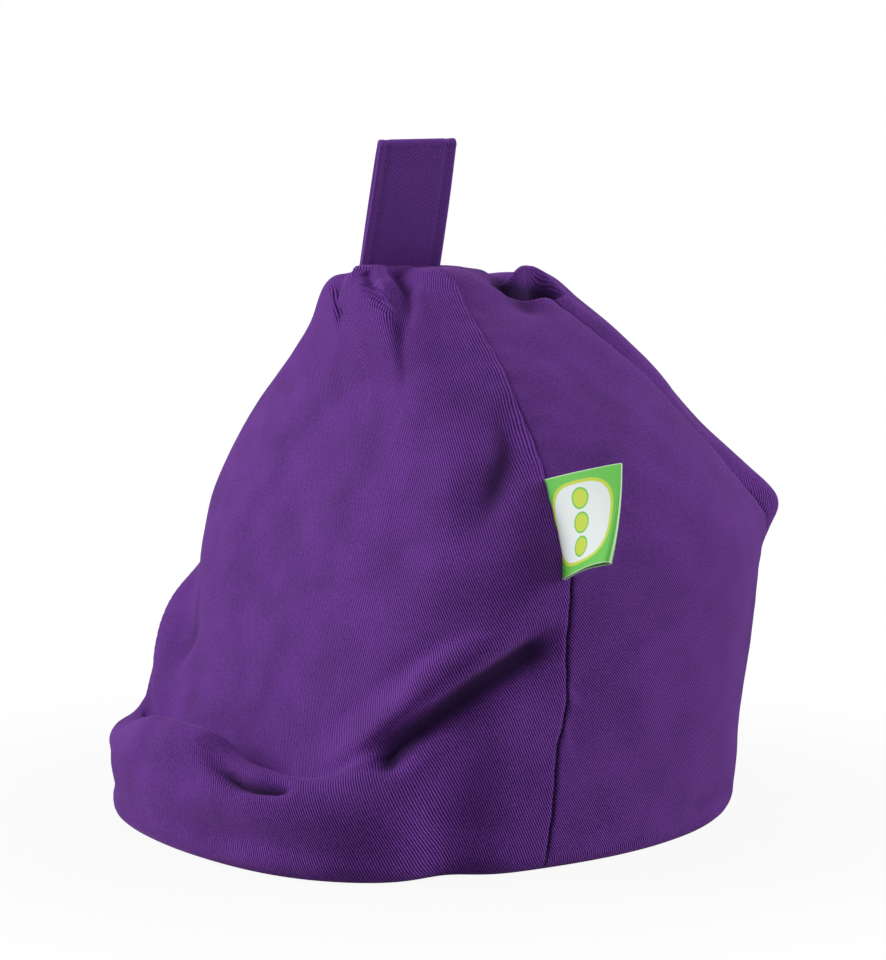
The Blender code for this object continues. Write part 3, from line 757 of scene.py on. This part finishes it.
def bag_mesh(rest, grid):
    """Quads between the grid's columns, with a flat base under them."""
    columns, rows = grid.shape[:2]
    bm = bmesh.new()
    rings = [[bm.verts.new(point) for point in grid[:, row]] for row in range(rows)]
    base = []
    for share in reversed(BASE_RINGS):
        base.append([bm.verts.new((point[0] * share, point[1] * share, point[2])) for point in grid[:, 0]])
    for lower, upper in zip(rings, rings[1:]):
        ring_faces(bm, lower, upper)
    for outer, inner in zip([rings[0]] + base, base):
        ring_faces(bm, inner, outer)
    bm.faces.new(base[-1][::-1])
    bm.faces.new(rings[-1])
    mesh = bpy.data.meshes.new("bag")
    bm.to_mesh(mesh)
    bm.free()
    mesh.shade_smooth()
    set_map(mesh, "weave", weave_map(rest))
    away = np.min([seam_distance(rest, index) for index in seam_columns()], axis=0)
    # How far the cloth is pushed in, which sets the painted shade in its folds
    pushed_in = -np.einsum("ijk,ijk->ij", grid - rest, grid_normals(rest))
    below = columns * len(BASE_RINGS)
    set_values(mesh, "seam_distance", away, np.ones(below))
    set_values(mesh, "painted_fold_shade", smooth(*PAINTED_FOLD_SHADE_DEPTHS, pushed_in), np.zeros(below))
    return mesh


def make_bag():
    rest = bag_grid()
    bag = link_piece("bag_cloth", bag_mesh(rest, folded_cloth(rest)))
    bag.data.materials.append(bag_material())
    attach(bag, "root")
    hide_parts("bag_body")


def strap_frame(rise):
    """(middle, across, along) of the strap at a share of its height over the bag."""
    turn = STRAP_TURN + STRAP_TWIST * (rise - 0.5)
    across = np.array((math.cos(turn), math.sin(turn), 0.0))
    along = np.array((-math.sin(turn), math.cos(turn), 0.0))
    return np.array((0.0, STRAP_Y + STRAP_LEAN * rise, 0.0)), across, along


def strap_path():
    """(middle of the band, outward, along its width) up one leg, over the fold and down the other."""
    _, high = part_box("carry_handle")
    seat = RIM_HEIGHT + CROWN_RISE
    straight = high.z + STRAP_PROUD - 0.5 * STRAP_THICKNESS - STRAP_FOLD_RADIUS
    rises = np.linspace(-STRAP_ROOT / (straight - seat), 1.0, STRAP_LEG_STEPS)
    leg = [(mix(seat, straight, rise), max(0.0, rise)) for rise in rises]
    path = []
    for height, rise in leg:
        path.append((height, rise, STRAP_FOLD_RADIUS + STRAP_BOW * math.sin(math.pi * rise), 0.0))
    for turn in np.linspace(0.0, math.pi, STRAP_FOLD_STEPS)[1:-1]:
        lift = STRAP_FOLD_RADIUS * math.sin(turn)
        path.append((straight + lift, 1.0, STRAP_FOLD_RADIUS * math.cos(turn), turn))
    for height, rise in reversed(leg):
        path.append((height, rise, -STRAP_FOLD_RADIUS - STRAP_BOW * math.sin(math.pi * rise), math.pi))
    frames = []
    for height, rise, offset, turn in path:
        middle, across, along = strap_frame(rise)
        outward = across * math.cos(turn) + np.array((0.0, 0.0, 1.0)) * math.sin(turn)
        place = Vector((0.3, offset * STRAP_RIPPLE_SCALE[0], height * STRAP_RIPPLE_SCALE[1]))
        ripple = STRAP_RIPPLE * noise.noise(place) * (0.0 < rise < 1.0)
        frames.append((middle + across * (offset + ripple) + np.array((0.0, 0.0, height)), outward, along))
    return frames


def strap_section():
    """(place across the width, half thickness) from one edge of the band to the other."""
    edge = np.linspace(0.9, 1.0, 6)
    shares = np.concatenate([-edge[:0:-1], np.linspace(-0.9, 0.9, 37), edge[1:]])
    places = shares * 0.5 * STRAP_WIDTH
    inset = 0.5 * STRAP_WIDTH - np.abs(places)
    round_edge = np.sqrt(1.0 - (1.0 - np.clip(inset / STRAP_EDGE, 0.0, 1.0)) ** 2)
    dip = STITCH_DIP * bell(inset - STITCH_INSET, 0.8 * MM)
    return places, 0.5 * STRAP_THICKNESS * round_edge - dip


def loft(name, rings, coordinates):
    """A closed tube of rings of equally many points, with a map and its normals pointing out."""
    bm = bmesh.new()
    layer = bm.loops.layers.uv.new("weave")
    made = [[bm.verts.new(point) for point in ring] for ring in rings]
    places = {}
    for ring, row in zip(made, coordinates):
        places.update(zip(ring, row))
    for lower, upper in zip(made, made[1:]):
        ring_faces(bm, lower, upper)
    bm.faces.new(made[0][::-1])
    bm.faces.new(made[-1])
    bmesh.ops.recalc_face_normals(bm, faces=bm.faces)
    for face in bm.faces:
        for corner in face.loops:
            corner[layer].uv = places[corner.vert]
    mesh = bpy.data.meshes.new(name)
    bm.to_mesh(mesh)
    bm.free()
    mesh.shade_smooth()
    return link_piece(name, mesh)


def path_lengths(points):
    return np.concatenate([[0.0], np.cumsum(np.linalg.norm(np.diff(points, axis=0), axis=1))])


def make_strap():
    places, halves = strap_section()
    frames = strap_path()
    runs = path_lengths(np.array([middle for middle, _, _ in frames]))
    rings, coordinates = [], []
    for (middle, outward, along), run in zip(frames, runs):
        outer = [middle + along * place + outward * half for place, half in zip(places, halves)]
        inner = [middle + along * place - outward * half for place, half in zip(places, halves)]
        rings.append(outer + inner[-2:0:-1])
        coordinates.append([(place, run) for place in list(places) + list(places[-2:0:-1])])
    strap = loft("carry_strap", rings, coordinates)
    strap.data.materials.append(strap_material())
    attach(strap, "root")
    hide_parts("carry_handle")


def model_stitch():
    """One thread stitch, a ball drawn out along Z."""
    bpy.ops.object.select_all(action="DESELECT")
    bpy.ops.mesh.primitive_uv_sphere_add(segments=8, ring_count=6, radius=STITCH_RADIUS)
    stitch = bpy.context.active_object
    bpy.ops.object.mode_set(mode="EDIT")
    bpy.ops.mesh.select_all(action="SELECT")
    bpy.ops.transform.resize(value=(1.0, 1.0, 0.5 * STITCH_LENGTH / STITCH_RADIUS))
    bpy.ops.object.mode_set(mode="OBJECT")
    bpy.ops.object.shade_smooth()
    return stitch


def make_strap_stitches():
    """A row of stitches along both edges of each face of the strap."""
    stitch = model_stitch()
    frames = strap_path()
    middles = np.array([middle for middle, _, _ in frames])
    runs = path_lengths(middles)
    copies = []
    for run in np.arange(runs[0] + STRAP_ROOT, runs[-1] - STRAP_ROOT, STITCH_PITCH):
        index = min(int(np.searchsorted(runs, run)), len(frames) - 2)
        middle, outward, along = frames[index]
        forward = frames[index + 1][0] - frames[index - 1][0]
        forward = forward / np.linalg.norm(forward)
        turn = Matrix((along, outward, forward)).transposed().to_4x4()
        for side in (-1.0, 1.0):
            place = middle + along * side * (0.5 * STRAP_WIDTH - STITCH_INSET)
            place = place + outward * (0.5 * STRAP_THICKNESS - STITCH_DIP)
            copy = link_piece("stitch", stitch.data.copy())
            copy.data.transform(Matrix.Translation(Vector(place)) @ turn)
            copies.append(copy)
    bpy.data.objects.remove(stitch)
    bpy.ops.object.select_all(action="DESELECT")
    for copy in copies:
        copy.select_set(True)
    bpy.context.view_layer.objects.active = copies[0]
    bpy.ops.object.join()
    stitches = bpy.context.active_object
    stitches.name = "strap_stitches"
    stitches.data.materials.clear()
    stitches.data.materials.append(thread_material())
    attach(stitches, "root")


def bend_through(low, middle, high, share):
    """A smooth line through three places in millimetres, at a share of its length."""
    low, middle, high = (np.array(place) * MM for place in (low, middle, high))
    control = 2.0 * middle - 0.5 * (low + high)
    return (1.0 - share) ** 2 * low + 2.0 * share * (1.0 - share) * control + share**2 * high


def ribbon_place(rise, out):
    """A point of the ribbon's leaf, by its shares up the seam and out from it."""
    root = bend_through(RIBBON_ROOT_LOW, RIBBON_ROOT_MIDDLE, RIBBON_ROOT_HIGH, rise)
    fold = bend_through(RIBBON_FOLD_LOW, RIBBON_FOLD_MIDDLE, RIBBON_FOLD_HIGH, rise)
    lift = np.array((0.0, 0.0, RIBBON_LOW_LIFT)) * math.sin(math.pi * out**1.4) * (1.0 - rise) ** 3
    return mix(root, fold, out) + np.array(RIBBON_FACE) * RIBBON_BULGE * math.sin(math.pi * out) + lift


def ribbon_row(rise):
    """(place, normal) along the ribbon at one height: out from the seam, round a loop and back."""
    _, leaf_steps, loop_steps = RIBBON_STEPS
    loop = mix(*RIBBON_LOOP_SHARES, rise) * RIBBON_LOOP
    upward = ribbon_place(min(1.0, rise + 0.02), 0.5) - ribbon_place(max(0.0, rise - 0.02), 0.5)
    leaf = []
    for out in np.linspace(0.0, 1.0, leaf_steps):
        outward = ribbon_place(rise, min(1.0, out + 0.02)) - ribbon_place(rise, max(0.0, out - 0.02))
        face = np.cross(outward, upward)
        spread = loop * (0.25 + 0.75 * smooth(0.35, 1.0, out))
        face /= np.linalg.norm(face)
        outward /= np.linalg.norm(outward)
        leaf.append((ribbon_place(rise, out), face, outward, spread))
    tip, face, outward, _ = leaf[-1]
    row = [(place + normal * spread, normal) for place, normal, _, spread in leaf]
    for turn in np.linspace(0.0, math.pi, loop_steps)[1:-1]:
        normal = face * math.cos(turn) + outward * math.sin(turn)
        row.append((tip + normal * loop, normal))
    return row + [(place - normal * spread, -normal) for place, normal, _, spread in reversed(leaf)]


def make_ribbon():
    rings, coordinates = [], []
    for rise in np.linspace(0.0, 1.0, RIBBON_STEPS[0]):
        row = ribbon_row(rise)
        runs = path_lengths(np.array([place for place, _ in row]))
        outer = [place + normal * 0.5 * RIBBON_THICKNESS for place, normal in row]
        inner = [place - normal * 0.5 * RIBBON_THICKNESS for place, normal in row]
        rings.append(outer + inner[::-1])
        shares = list(runs / runs[-1])
        coordinates.append([(share, rise) for share in shares + shares[::-1]])
    ribbon = loft("side_ribbon", rings, coordinates)
    ribbon.data.set_sharp_from_angle(angle=math.radians(60.0))
    ribbon.data.materials.append(ribbon_material())
    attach(ribbon, "root")
    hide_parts("side_label")


def calc(tree, operation, *values):
    """A Math node of the given sockets and numbers."""
    node = tree.nodes.new("ShaderNodeMath")
    node.operation = operation
    for socket, value in zip(node.inputs, values):
        if isinstance(value, bpy.types.NodeSocket):
            tree.links.new(value, socket)
        else:
            socket.default_value = value
    return node.outputs[0]


def wave(tree, value):
    """A wave between 0 and 1, once for each whole number that the value passes."""
    turned = calc(tree, "MULTIPLY", value, 2.0 * math.pi)
    return calc(tree, "MULTIPLY_ADD", calc(tree, "SINE", turned), 0.5, 0.5)


def soft_step(tree, value, low, high):
    """0 at low and 1 at high, where low may be the larger of the two."""
    node = tree.nodes.new("ShaderNodeMapRange")
    node.interpolation_type = "SMOOTHSTEP"
    tree.links.new(value, node.inputs["Value"])
    node.inputs["From Min"].default_value = low
    node.inputs["From Max"].default_value = high
    return node.outputs["Result"]


def blend_colours(tree, share, first, second):
    """The first colour where the share is 0, and the second where it is 1."""
    node = tree.nodes.new("ShaderNodeMix")
    node.data_type = "RGBA"
    tree.links.new(share, node.inputs["Factor"])
    for name, value in (("A", first), ("B", second)):
        socket = next(item for item in node.inputs if item.name == name and item.type == "RGBA")
        if isinstance(value, bpy.types.NodeSocket):
            tree.links.new(value, socket)
        else:
            socket.default_value = (*value, 1.0)
    return next(item for item in node.outputs if item.type == "RGBA")


def noise_at(tree, vector, scale, detail=2.0):
    node = tree.nodes.new("ShaderNodeTexNoise")
    node.inputs["Scale"].default_value = scale
    node.inputs["Detail"].default_value = detail
    tree.links.new(vector, node.inputs["Vector"])
    return node.outputs["Fac"]


def axes_of(tree, vector):
    """The X, Y and Z of a vector."""
    node = tree.nodes.new("ShaderNodeSeparateXYZ")
    tree.links.new(vector, node.inputs[0])
    return node.outputs


def object_place(tree):
    return tree.nodes.new("ShaderNodeTexCoord").outputs["Object"]


def attribute_named(tree, name):
    node = tree.nodes.new("ShaderNodeAttribute")
    node.attribute_name = name
    return node.outputs["Fac"]


def twill_group():
    """Diagonal ribs of twill on a map in metres: their height, and how light the yarn is."""
    group = bpy.data.node_groups.new("twill weave", "ShaderNodeTree")
    group.interface.new_socket("Map", in_out="INPUT", socket_type="NodeSocketVector")
    for name in ("Wale", "Yarn", "Ribs"):
        group.interface.new_socket(name, in_out="INPUT", socket_type="NodeSocketFloat")
    for name in ("Height", "Lightness"):
        group.interface.new_socket(name, in_out="OUTPUT", socket_type="NodeSocketFloat")
    entry = group.nodes.new("NodeGroupInput").outputs
    leave = group.nodes.new("NodeGroupOutput").inputs
    steep, flat = math.sin(RIB_TURN), math.cos(RIB_TURN)
    u, v, _ = axes_of(group, entry["Map"])
    slant = calc(group, "ADD", calc(group, "MULTIPLY", u, steep), calc(group, "MULTIPLY", v, flat))
    run = calc(group, "SUBTRACT", calc(group, "MULTIPLY", u, flat), calc(group, "MULTIPLY", v, steep))
    wander = calc(group, "MULTIPLY", noise_at(group, entry["Map"], RIB_WANDER_SCALE, 1.0), RIB_WANDER)
    ribs = calc(group, "ADD", calc(group, "DIVIDE", slant, entry["Wale"]), wander)
    step = calc(group, "MULTIPLY", calc(group, "FLOOR", ribs), YARN_STEP)
    yarns = calc(group, "ADD", calc(group, "DIVIDE", run, entry["Yarn"]), step)
    yarn = calc(group, "MULTIPLY_ADD", wave(group, yarns), YARN_SHARE, 1.0 - YARN_SHARE)
    height = calc(group, "MULTIPLY", wave(group, ribs), yarn)
    slub = calc(group, "MULTIPLY", noise_at(group, entry["Map"], SLUB_SCALE, 3.0), SLUB_SHARE)
    cloud = calc(group, "MULTIPLY", noise_at(group, entry["Map"], CLOUD_SCALE, 3.0), 1.0 - SLUB_SHARE)
    ribbed = calc(group, "MULTIPLY", calc(group, "SUBTRACT", height, RIB_MIDDLE), entry["Ribs"])
    level = calc(group, "MULTIPLY_ADD", entry["Ribs"], *RIB_LIGHT)
    plain = calc(group, "MULTIPLY_ADD", calc(group, "ADD", slub, cloud), UNEVEN_LIGHT, level)
    group.links.new(calc(group, "MULTIPLY", height, entry["Ribs"]), leave["Height"])
    group.links.new(calc(group, "ADD", ribbed, plain), leave["Lightness"])
    return group


def new_material(name, roughness):
    """(material, node tree, shader) with one Principled BSDF."""
    material = bpy.data.materials.new(name)
    material.use_nodes = True
    shader = material.node_tree.nodes["Principled BSDF"]
    shader.inputs["Roughness"].default_value = roughness
    return material, material.node_tree, shader


def map_named(tree, name):
    node = tree.nodes.new("ShaderNodeUVMap")
    node.uv_map = name
    return node.outputs["UV"]


def add_bump(tree, shader, height, distance):
    bump = tree.nodes.new("ShaderNodeBump")
    bump.inputs["Distance"].default_value = distance
    tree.links.new(height, bump.inputs["Height"])
    tree.links.new(bump.outputs["Normal"], shader.inputs["Normal"])


def cloth_nodes(name, rib, groove):
    """A cotton twill material with its tree, its shader, the socket that holds its colour, and its weave."""
    material, tree, shader = new_material(name, CLOTH_ROUGHNESS)
    shader.inputs["Specular IOR Level"].default_value = CLOTH_SPECULAR
    shader.inputs["Sheen Weight"].default_value = SHEEN_WEIGHT
    shader.inputs["Sheen Roughness"].default_value = SHEEN_ROUGHNESS
    shader.inputs["Sheen Tint"].default_value = (*SHEEN_TINT, 1.0)
    weave = tree.nodes.new("ShaderNodeGroup")
    weave.node_tree = bpy.data.node_groups.get("twill weave") or twill_group()
    weave.inputs["Wale"].default_value = WALE
    weave.inputs["Yarn"].default_value = YARN
    tree.links.new(map_named(tree, "weave"), weave.inputs["Map"])
    colour = blend_colours(tree, weave.outputs["Lightness"], groove, rib)
    add_bump(tree, shader, weave.outputs["Height"], RIB_HEIGHT)
    return material, tree, shader, colour, weave


def strap_material():
    """The strap's flatter twill."""
    material, tree, shader, colour, weave = cloth_nodes("strap_twill", STRAP_RIB, STRAP_GROOVE)
    weave.inputs["Ribs"].default_value = STRAP_RIBS
    tree.links.new(colour, shader.inputs["Base Color"])
    return material


def rib_strength(tree):
    """Ribs painted fainter high on the rear shoulders, where the light runs along them, and partly hidden by
    a raised nap on the front's left and middle.
    """
    x, y, z = axes_of(tree, object_place(tree))
    high = soft_step(tree, z, *PAINTED_FAINT_RIB_HEIGHT)
    back = soft_step(tree, y, *PAINTED_FAINT_RIB_DEPTH)
    ahead = soft_step(tree, y, *FRONT_NAP_DEPTH)
    aside = soft_step(tree, x, *FRONT_NAP_WIDTH)
    below = soft_step(tree, z, *FRONT_NAP_HEIGHT)
    front = calc(tree, "MULTIPLY", calc(tree, "MULTIPLY", ahead, aside), below)
    # Painted fainter ribs high on the rear shoulders, where the light runs along them
    behind = calc(tree, "MULTIPLY_ADD", calc(tree, "MULTIPLY", high, back), -PAINTED_FAINT_RIB_SHARE, 1.0)
    return calc(tree, "MULTIPLY_ADD", front, -FRONT_NAP_SHARE, behind)


def bag_material():
    """The bag's twill, with painted shade darkening its folds, and a thin dark stitched line in its seams."""
    material, tree, shader, colour, weave = cloth_nodes("bag_twill", BAG_RIB, BAG_GROOVE)
    # Painted shade: deep folds lose part of their ribs and darken towards the thread's colour
    fold = attribute_named(tree, "painted_fold_shade")
    open_cloth = calc(tree, "MULTIPLY_ADD", fold, -PAINTED_FOLD_SHADE_RIB_LOSS, 1.0)
    tree.links.new(calc(tree, "MULTIPLY", rib_strength(tree), open_cloth), weave.inputs["Ribs"])
    _, upward, _ = axes_of(tree, map_named(tree, "weave"))
    dash = calc(tree, "SINE", calc(tree, "MULTIPLY", upward, 2.0 * math.pi / STITCH_PITCH))
    dash = calc(tree, "MULTIPLY_ADD", dash, *SEAM_DASH)
    away = attribute_named(tree, "seam_distance")
    line = calc(tree, "SUBTRACT", 1.0, soft_step(tree, away, *SEAM_LINE))
    colour = blend_colours(tree, calc(tree, "MULTIPLY", fold, PAINTED_FOLD_SHADE_SHARE), colour, THREAD_AND_FOLD_SHADE)
    stitched = blend_colours(tree, calc(tree, "MULTIPLY", line, dash), colour, THREAD_AND_FOLD_SHADE)
    tree.links.new(stitched, shader.inputs["Base Color"])
    return material


def thread_material():
    material, tree, shader = new_material("strap_thread", 0.7)
    uneven = noise_at(tree, object_place(tree), 1500.0)
    tree.links.new(blend_colours(tree, uneven, THREAD_AND_FOLD_SHADE, STRAP_GROOVE), shader.inputs["Base Color"])
    add_bump(tree, shader, uneven, 0.05 * MM)
    return material


def ribbon_material():
    """Woven ribbon: a white field framed in lime on green, with three plain discs across each leaf,
    pale cut edges and a painted highlight along the fold.
    """
    material, tree, shader = new_material("ribbon_print", 0.55)
    u, v, _ = axes_of(tree, map_named(tree, "weave"))
    leaf = calc(tree, "PINGPONG", u, 0.5)
    across = calc(tree, "MULTIPLY", calc(tree, "SUBTRACT", leaf, FIELD_MIDDLE), RIBBON_CUT[1] / MM)
    upward = calc(tree, "MULTIPLY", calc(tree, "SUBTRACT", v, 0.5), RIBBON_CUT[0] / MM)
    wide, tall = (
        calc(tree, "POWER", calc(tree, "ABSOLUTE", calc(tree, "DIVIDE", place, reach)), FIELD_POWER)
        for place, reach in zip((across, upward), FIELD_REACH)
    )
    inside = calc(tree, "POWER", calc(tree, "ADD", wide, tall), 1.0 / FIELD_POWER)
    colour = blend_colours(tree, soft_step(tree, inside, *FIELD_EDGE), RIBBON_LIME, RIBBON_GREEN)
    colour = blend_colours(tree, soft_step(tree, inside, *FIELD_FRAME), RIBBON_WHITE, colour)
    disc_up = calc(tree, "PINGPONG", calc(tree, "ADD", upward, DISC_HALF_PITCH), DISC_HALF_PITCH)
    disc_up = calc(tree, "SUBTRACT", DISC_HALF_PITCH, disc_up)
    squares = calc(tree, "ADD", calc(tree, "POWER", across, 2.0), calc(tree, "POWER", disc_up, 2.0))
    disc = calc(tree, "SQRT", squares)
    close = calc(tree, "SUBTRACT", 1.0, soft_step(tree, calc(tree, "ABSOLUTE", upward), *DISC_ROW))
    for edge, paint in ((DISC_RING, RIBBON_GREEN), (DISC_FILL, RIBBON_LIME)):
        within = calc(tree, "MULTIPLY", calc(tree, "SUBTRACT", 1.0, soft_step(tree, disc, *edge)), close)
        colour = blend_colours(tree, within, colour, paint)
    # Pale cut edges, and a painted highlight along the fold
    cut = soft_step(tree, calc(tree, "ABSOLUTE", upward), *RIBBON_SIDE_EDGE)
    fold = soft_step(tree, leaf, *RIBBON_FOLD_HIGHLIGHT)
    colour = blend_colours(tree, calc(tree, "MAXIMUM", cut, fold), colour, RIBBON_CUT_EDGE_AND_FOLD_HIGHLIGHT)
    picks, threads = (
        calc(tree, "SINE", calc(tree, "MULTIPLY", place, 2.0 * math.pi / pitch))
        for place, pitch in zip((across, upward), RIBBON_THREAD_PITCH)
    )
    tree.links.new(colour, shader.inputs["Base Color"])
    add_bump(tree, shader, calc(tree, "MULTIPLY", threads, picks), 0.03 * MM)
    return material


def seen_directly(tree):
    """1 for what the camera sees, straight or by way of metal and glass."""
    rays = tree.nodes.new("ShaderNodeLightPath").outputs
    seen = calc(tree, "MAXIMUM", rays["Is Camera Ray"], rays["Is Glossy Ray"])
    return calc(tree, "MAXIMUM", seen, rays["Is Transmission Ray"])


def stage_material():
    """White floor that keeps the bag's soft shadow near it and clears to plain white away from it."""
    material, tree, shader = new_material("floor_white", 0.9)
    shader.inputs["Base Color"].default_value = (FLOOR_TONE, FLOOR_TONE, FLOOR_TONE, 1.0)
    length = tree.nodes.new("ShaderNodeVectorMath")
    length.operation = "LENGTH"
    tree.links.new(object_place(tree), length.inputs[0])
    away = soft_step(tree, length.outputs["Value"], *FLOOR_FADE)
    clear = calc(tree, "MULTIPLY_ADD", away, FLOOR_CLEAR[1] - FLOOR_CLEAR[0], FLOOR_CLEAR[0])
    white = tree.nodes.new("ShaderNodeEmission")
    blend = tree.nodes.new("ShaderNodeMixShader")
    output = tree.nodes["Material Output"]
    tree.links.new(calc(tree, "MULTIPLY", clear, seen_directly(tree)), blend.inputs[0])
    tree.links.new(shader.outputs[0], blend.inputs[1])
    tree.links.new(white.outputs[0], blend.inputs[2])
    tree.links.new(blend.outputs[0], output.inputs["Surface"])
    return material


def make_stage():
    """A plain white floor under a white surround."""
    bpy.ops.object.select_all(action="DESELECT")
    bpy.ops.mesh.primitive_plane_add(size=FLOOR_SIZE, location=(0.0, 0.0, 0.0))
    floor = bpy.context.active_object
    floor.name = "floor"
    floor.data.materials.append(stage_material())
    world = bpy.data.worlds.new("surround")
    world.use_nodes = True
    tree = world.node_tree
    background = tree.nodes["Background"]
    background.inputs["Color"].default_value = (1.0, 1.0, 1.0, 1.0)
    strength = calc(tree, "MULTIPLY_ADD", seen_directly(tree), 1.0 - WORLD_STRENGTH, WORLD_STRENGTH)
    tree.links.new(strength, background.inputs["Strength"])
    bpy.context.scene.world = world


def make_lights():
    for name, place, power, size in LIGHTS:
        light = bpy.data.objects.new(name, bpy.data.lights.new(name, "AREA"))
        light.data.energy = power
        light.data.size = size
        light.location = place
        light.rotation_euler = (Vector(LIGHTS_AIM) - Vector(place)).to_track_quat("-Z", "Y").to_euler()
        bpy.context.scene.collection.objects.link(light)


def make_camera():
    camera = bpy.data.objects.new("camera", bpy.data.cameras.new("camera"))
    camera.data.lens = CAMERA_LENS
    camera.data.sensor_width = CAMERA_SENSOR
    camera.location = CAMERA_AT
    camera.rotation_euler = Vector(CAMERA_TOWARDS).to_track_quat("-Z", "Y").to_euler()
    bpy.context.scene.collection.objects.link(camera)
    bpy.context.scene.camera = camera


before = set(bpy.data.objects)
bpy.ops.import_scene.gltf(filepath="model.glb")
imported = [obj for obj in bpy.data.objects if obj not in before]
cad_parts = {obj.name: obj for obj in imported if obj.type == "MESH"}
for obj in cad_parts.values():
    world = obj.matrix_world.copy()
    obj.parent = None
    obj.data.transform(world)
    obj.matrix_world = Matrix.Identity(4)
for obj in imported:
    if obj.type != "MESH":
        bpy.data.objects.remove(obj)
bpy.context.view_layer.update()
bpy.context.scene.view_settings.view_transform = "Standard"
make_camera()
make_stage()
make_lights()
make_bag()
make_strap()
make_strap_stitches()
make_ribbon()
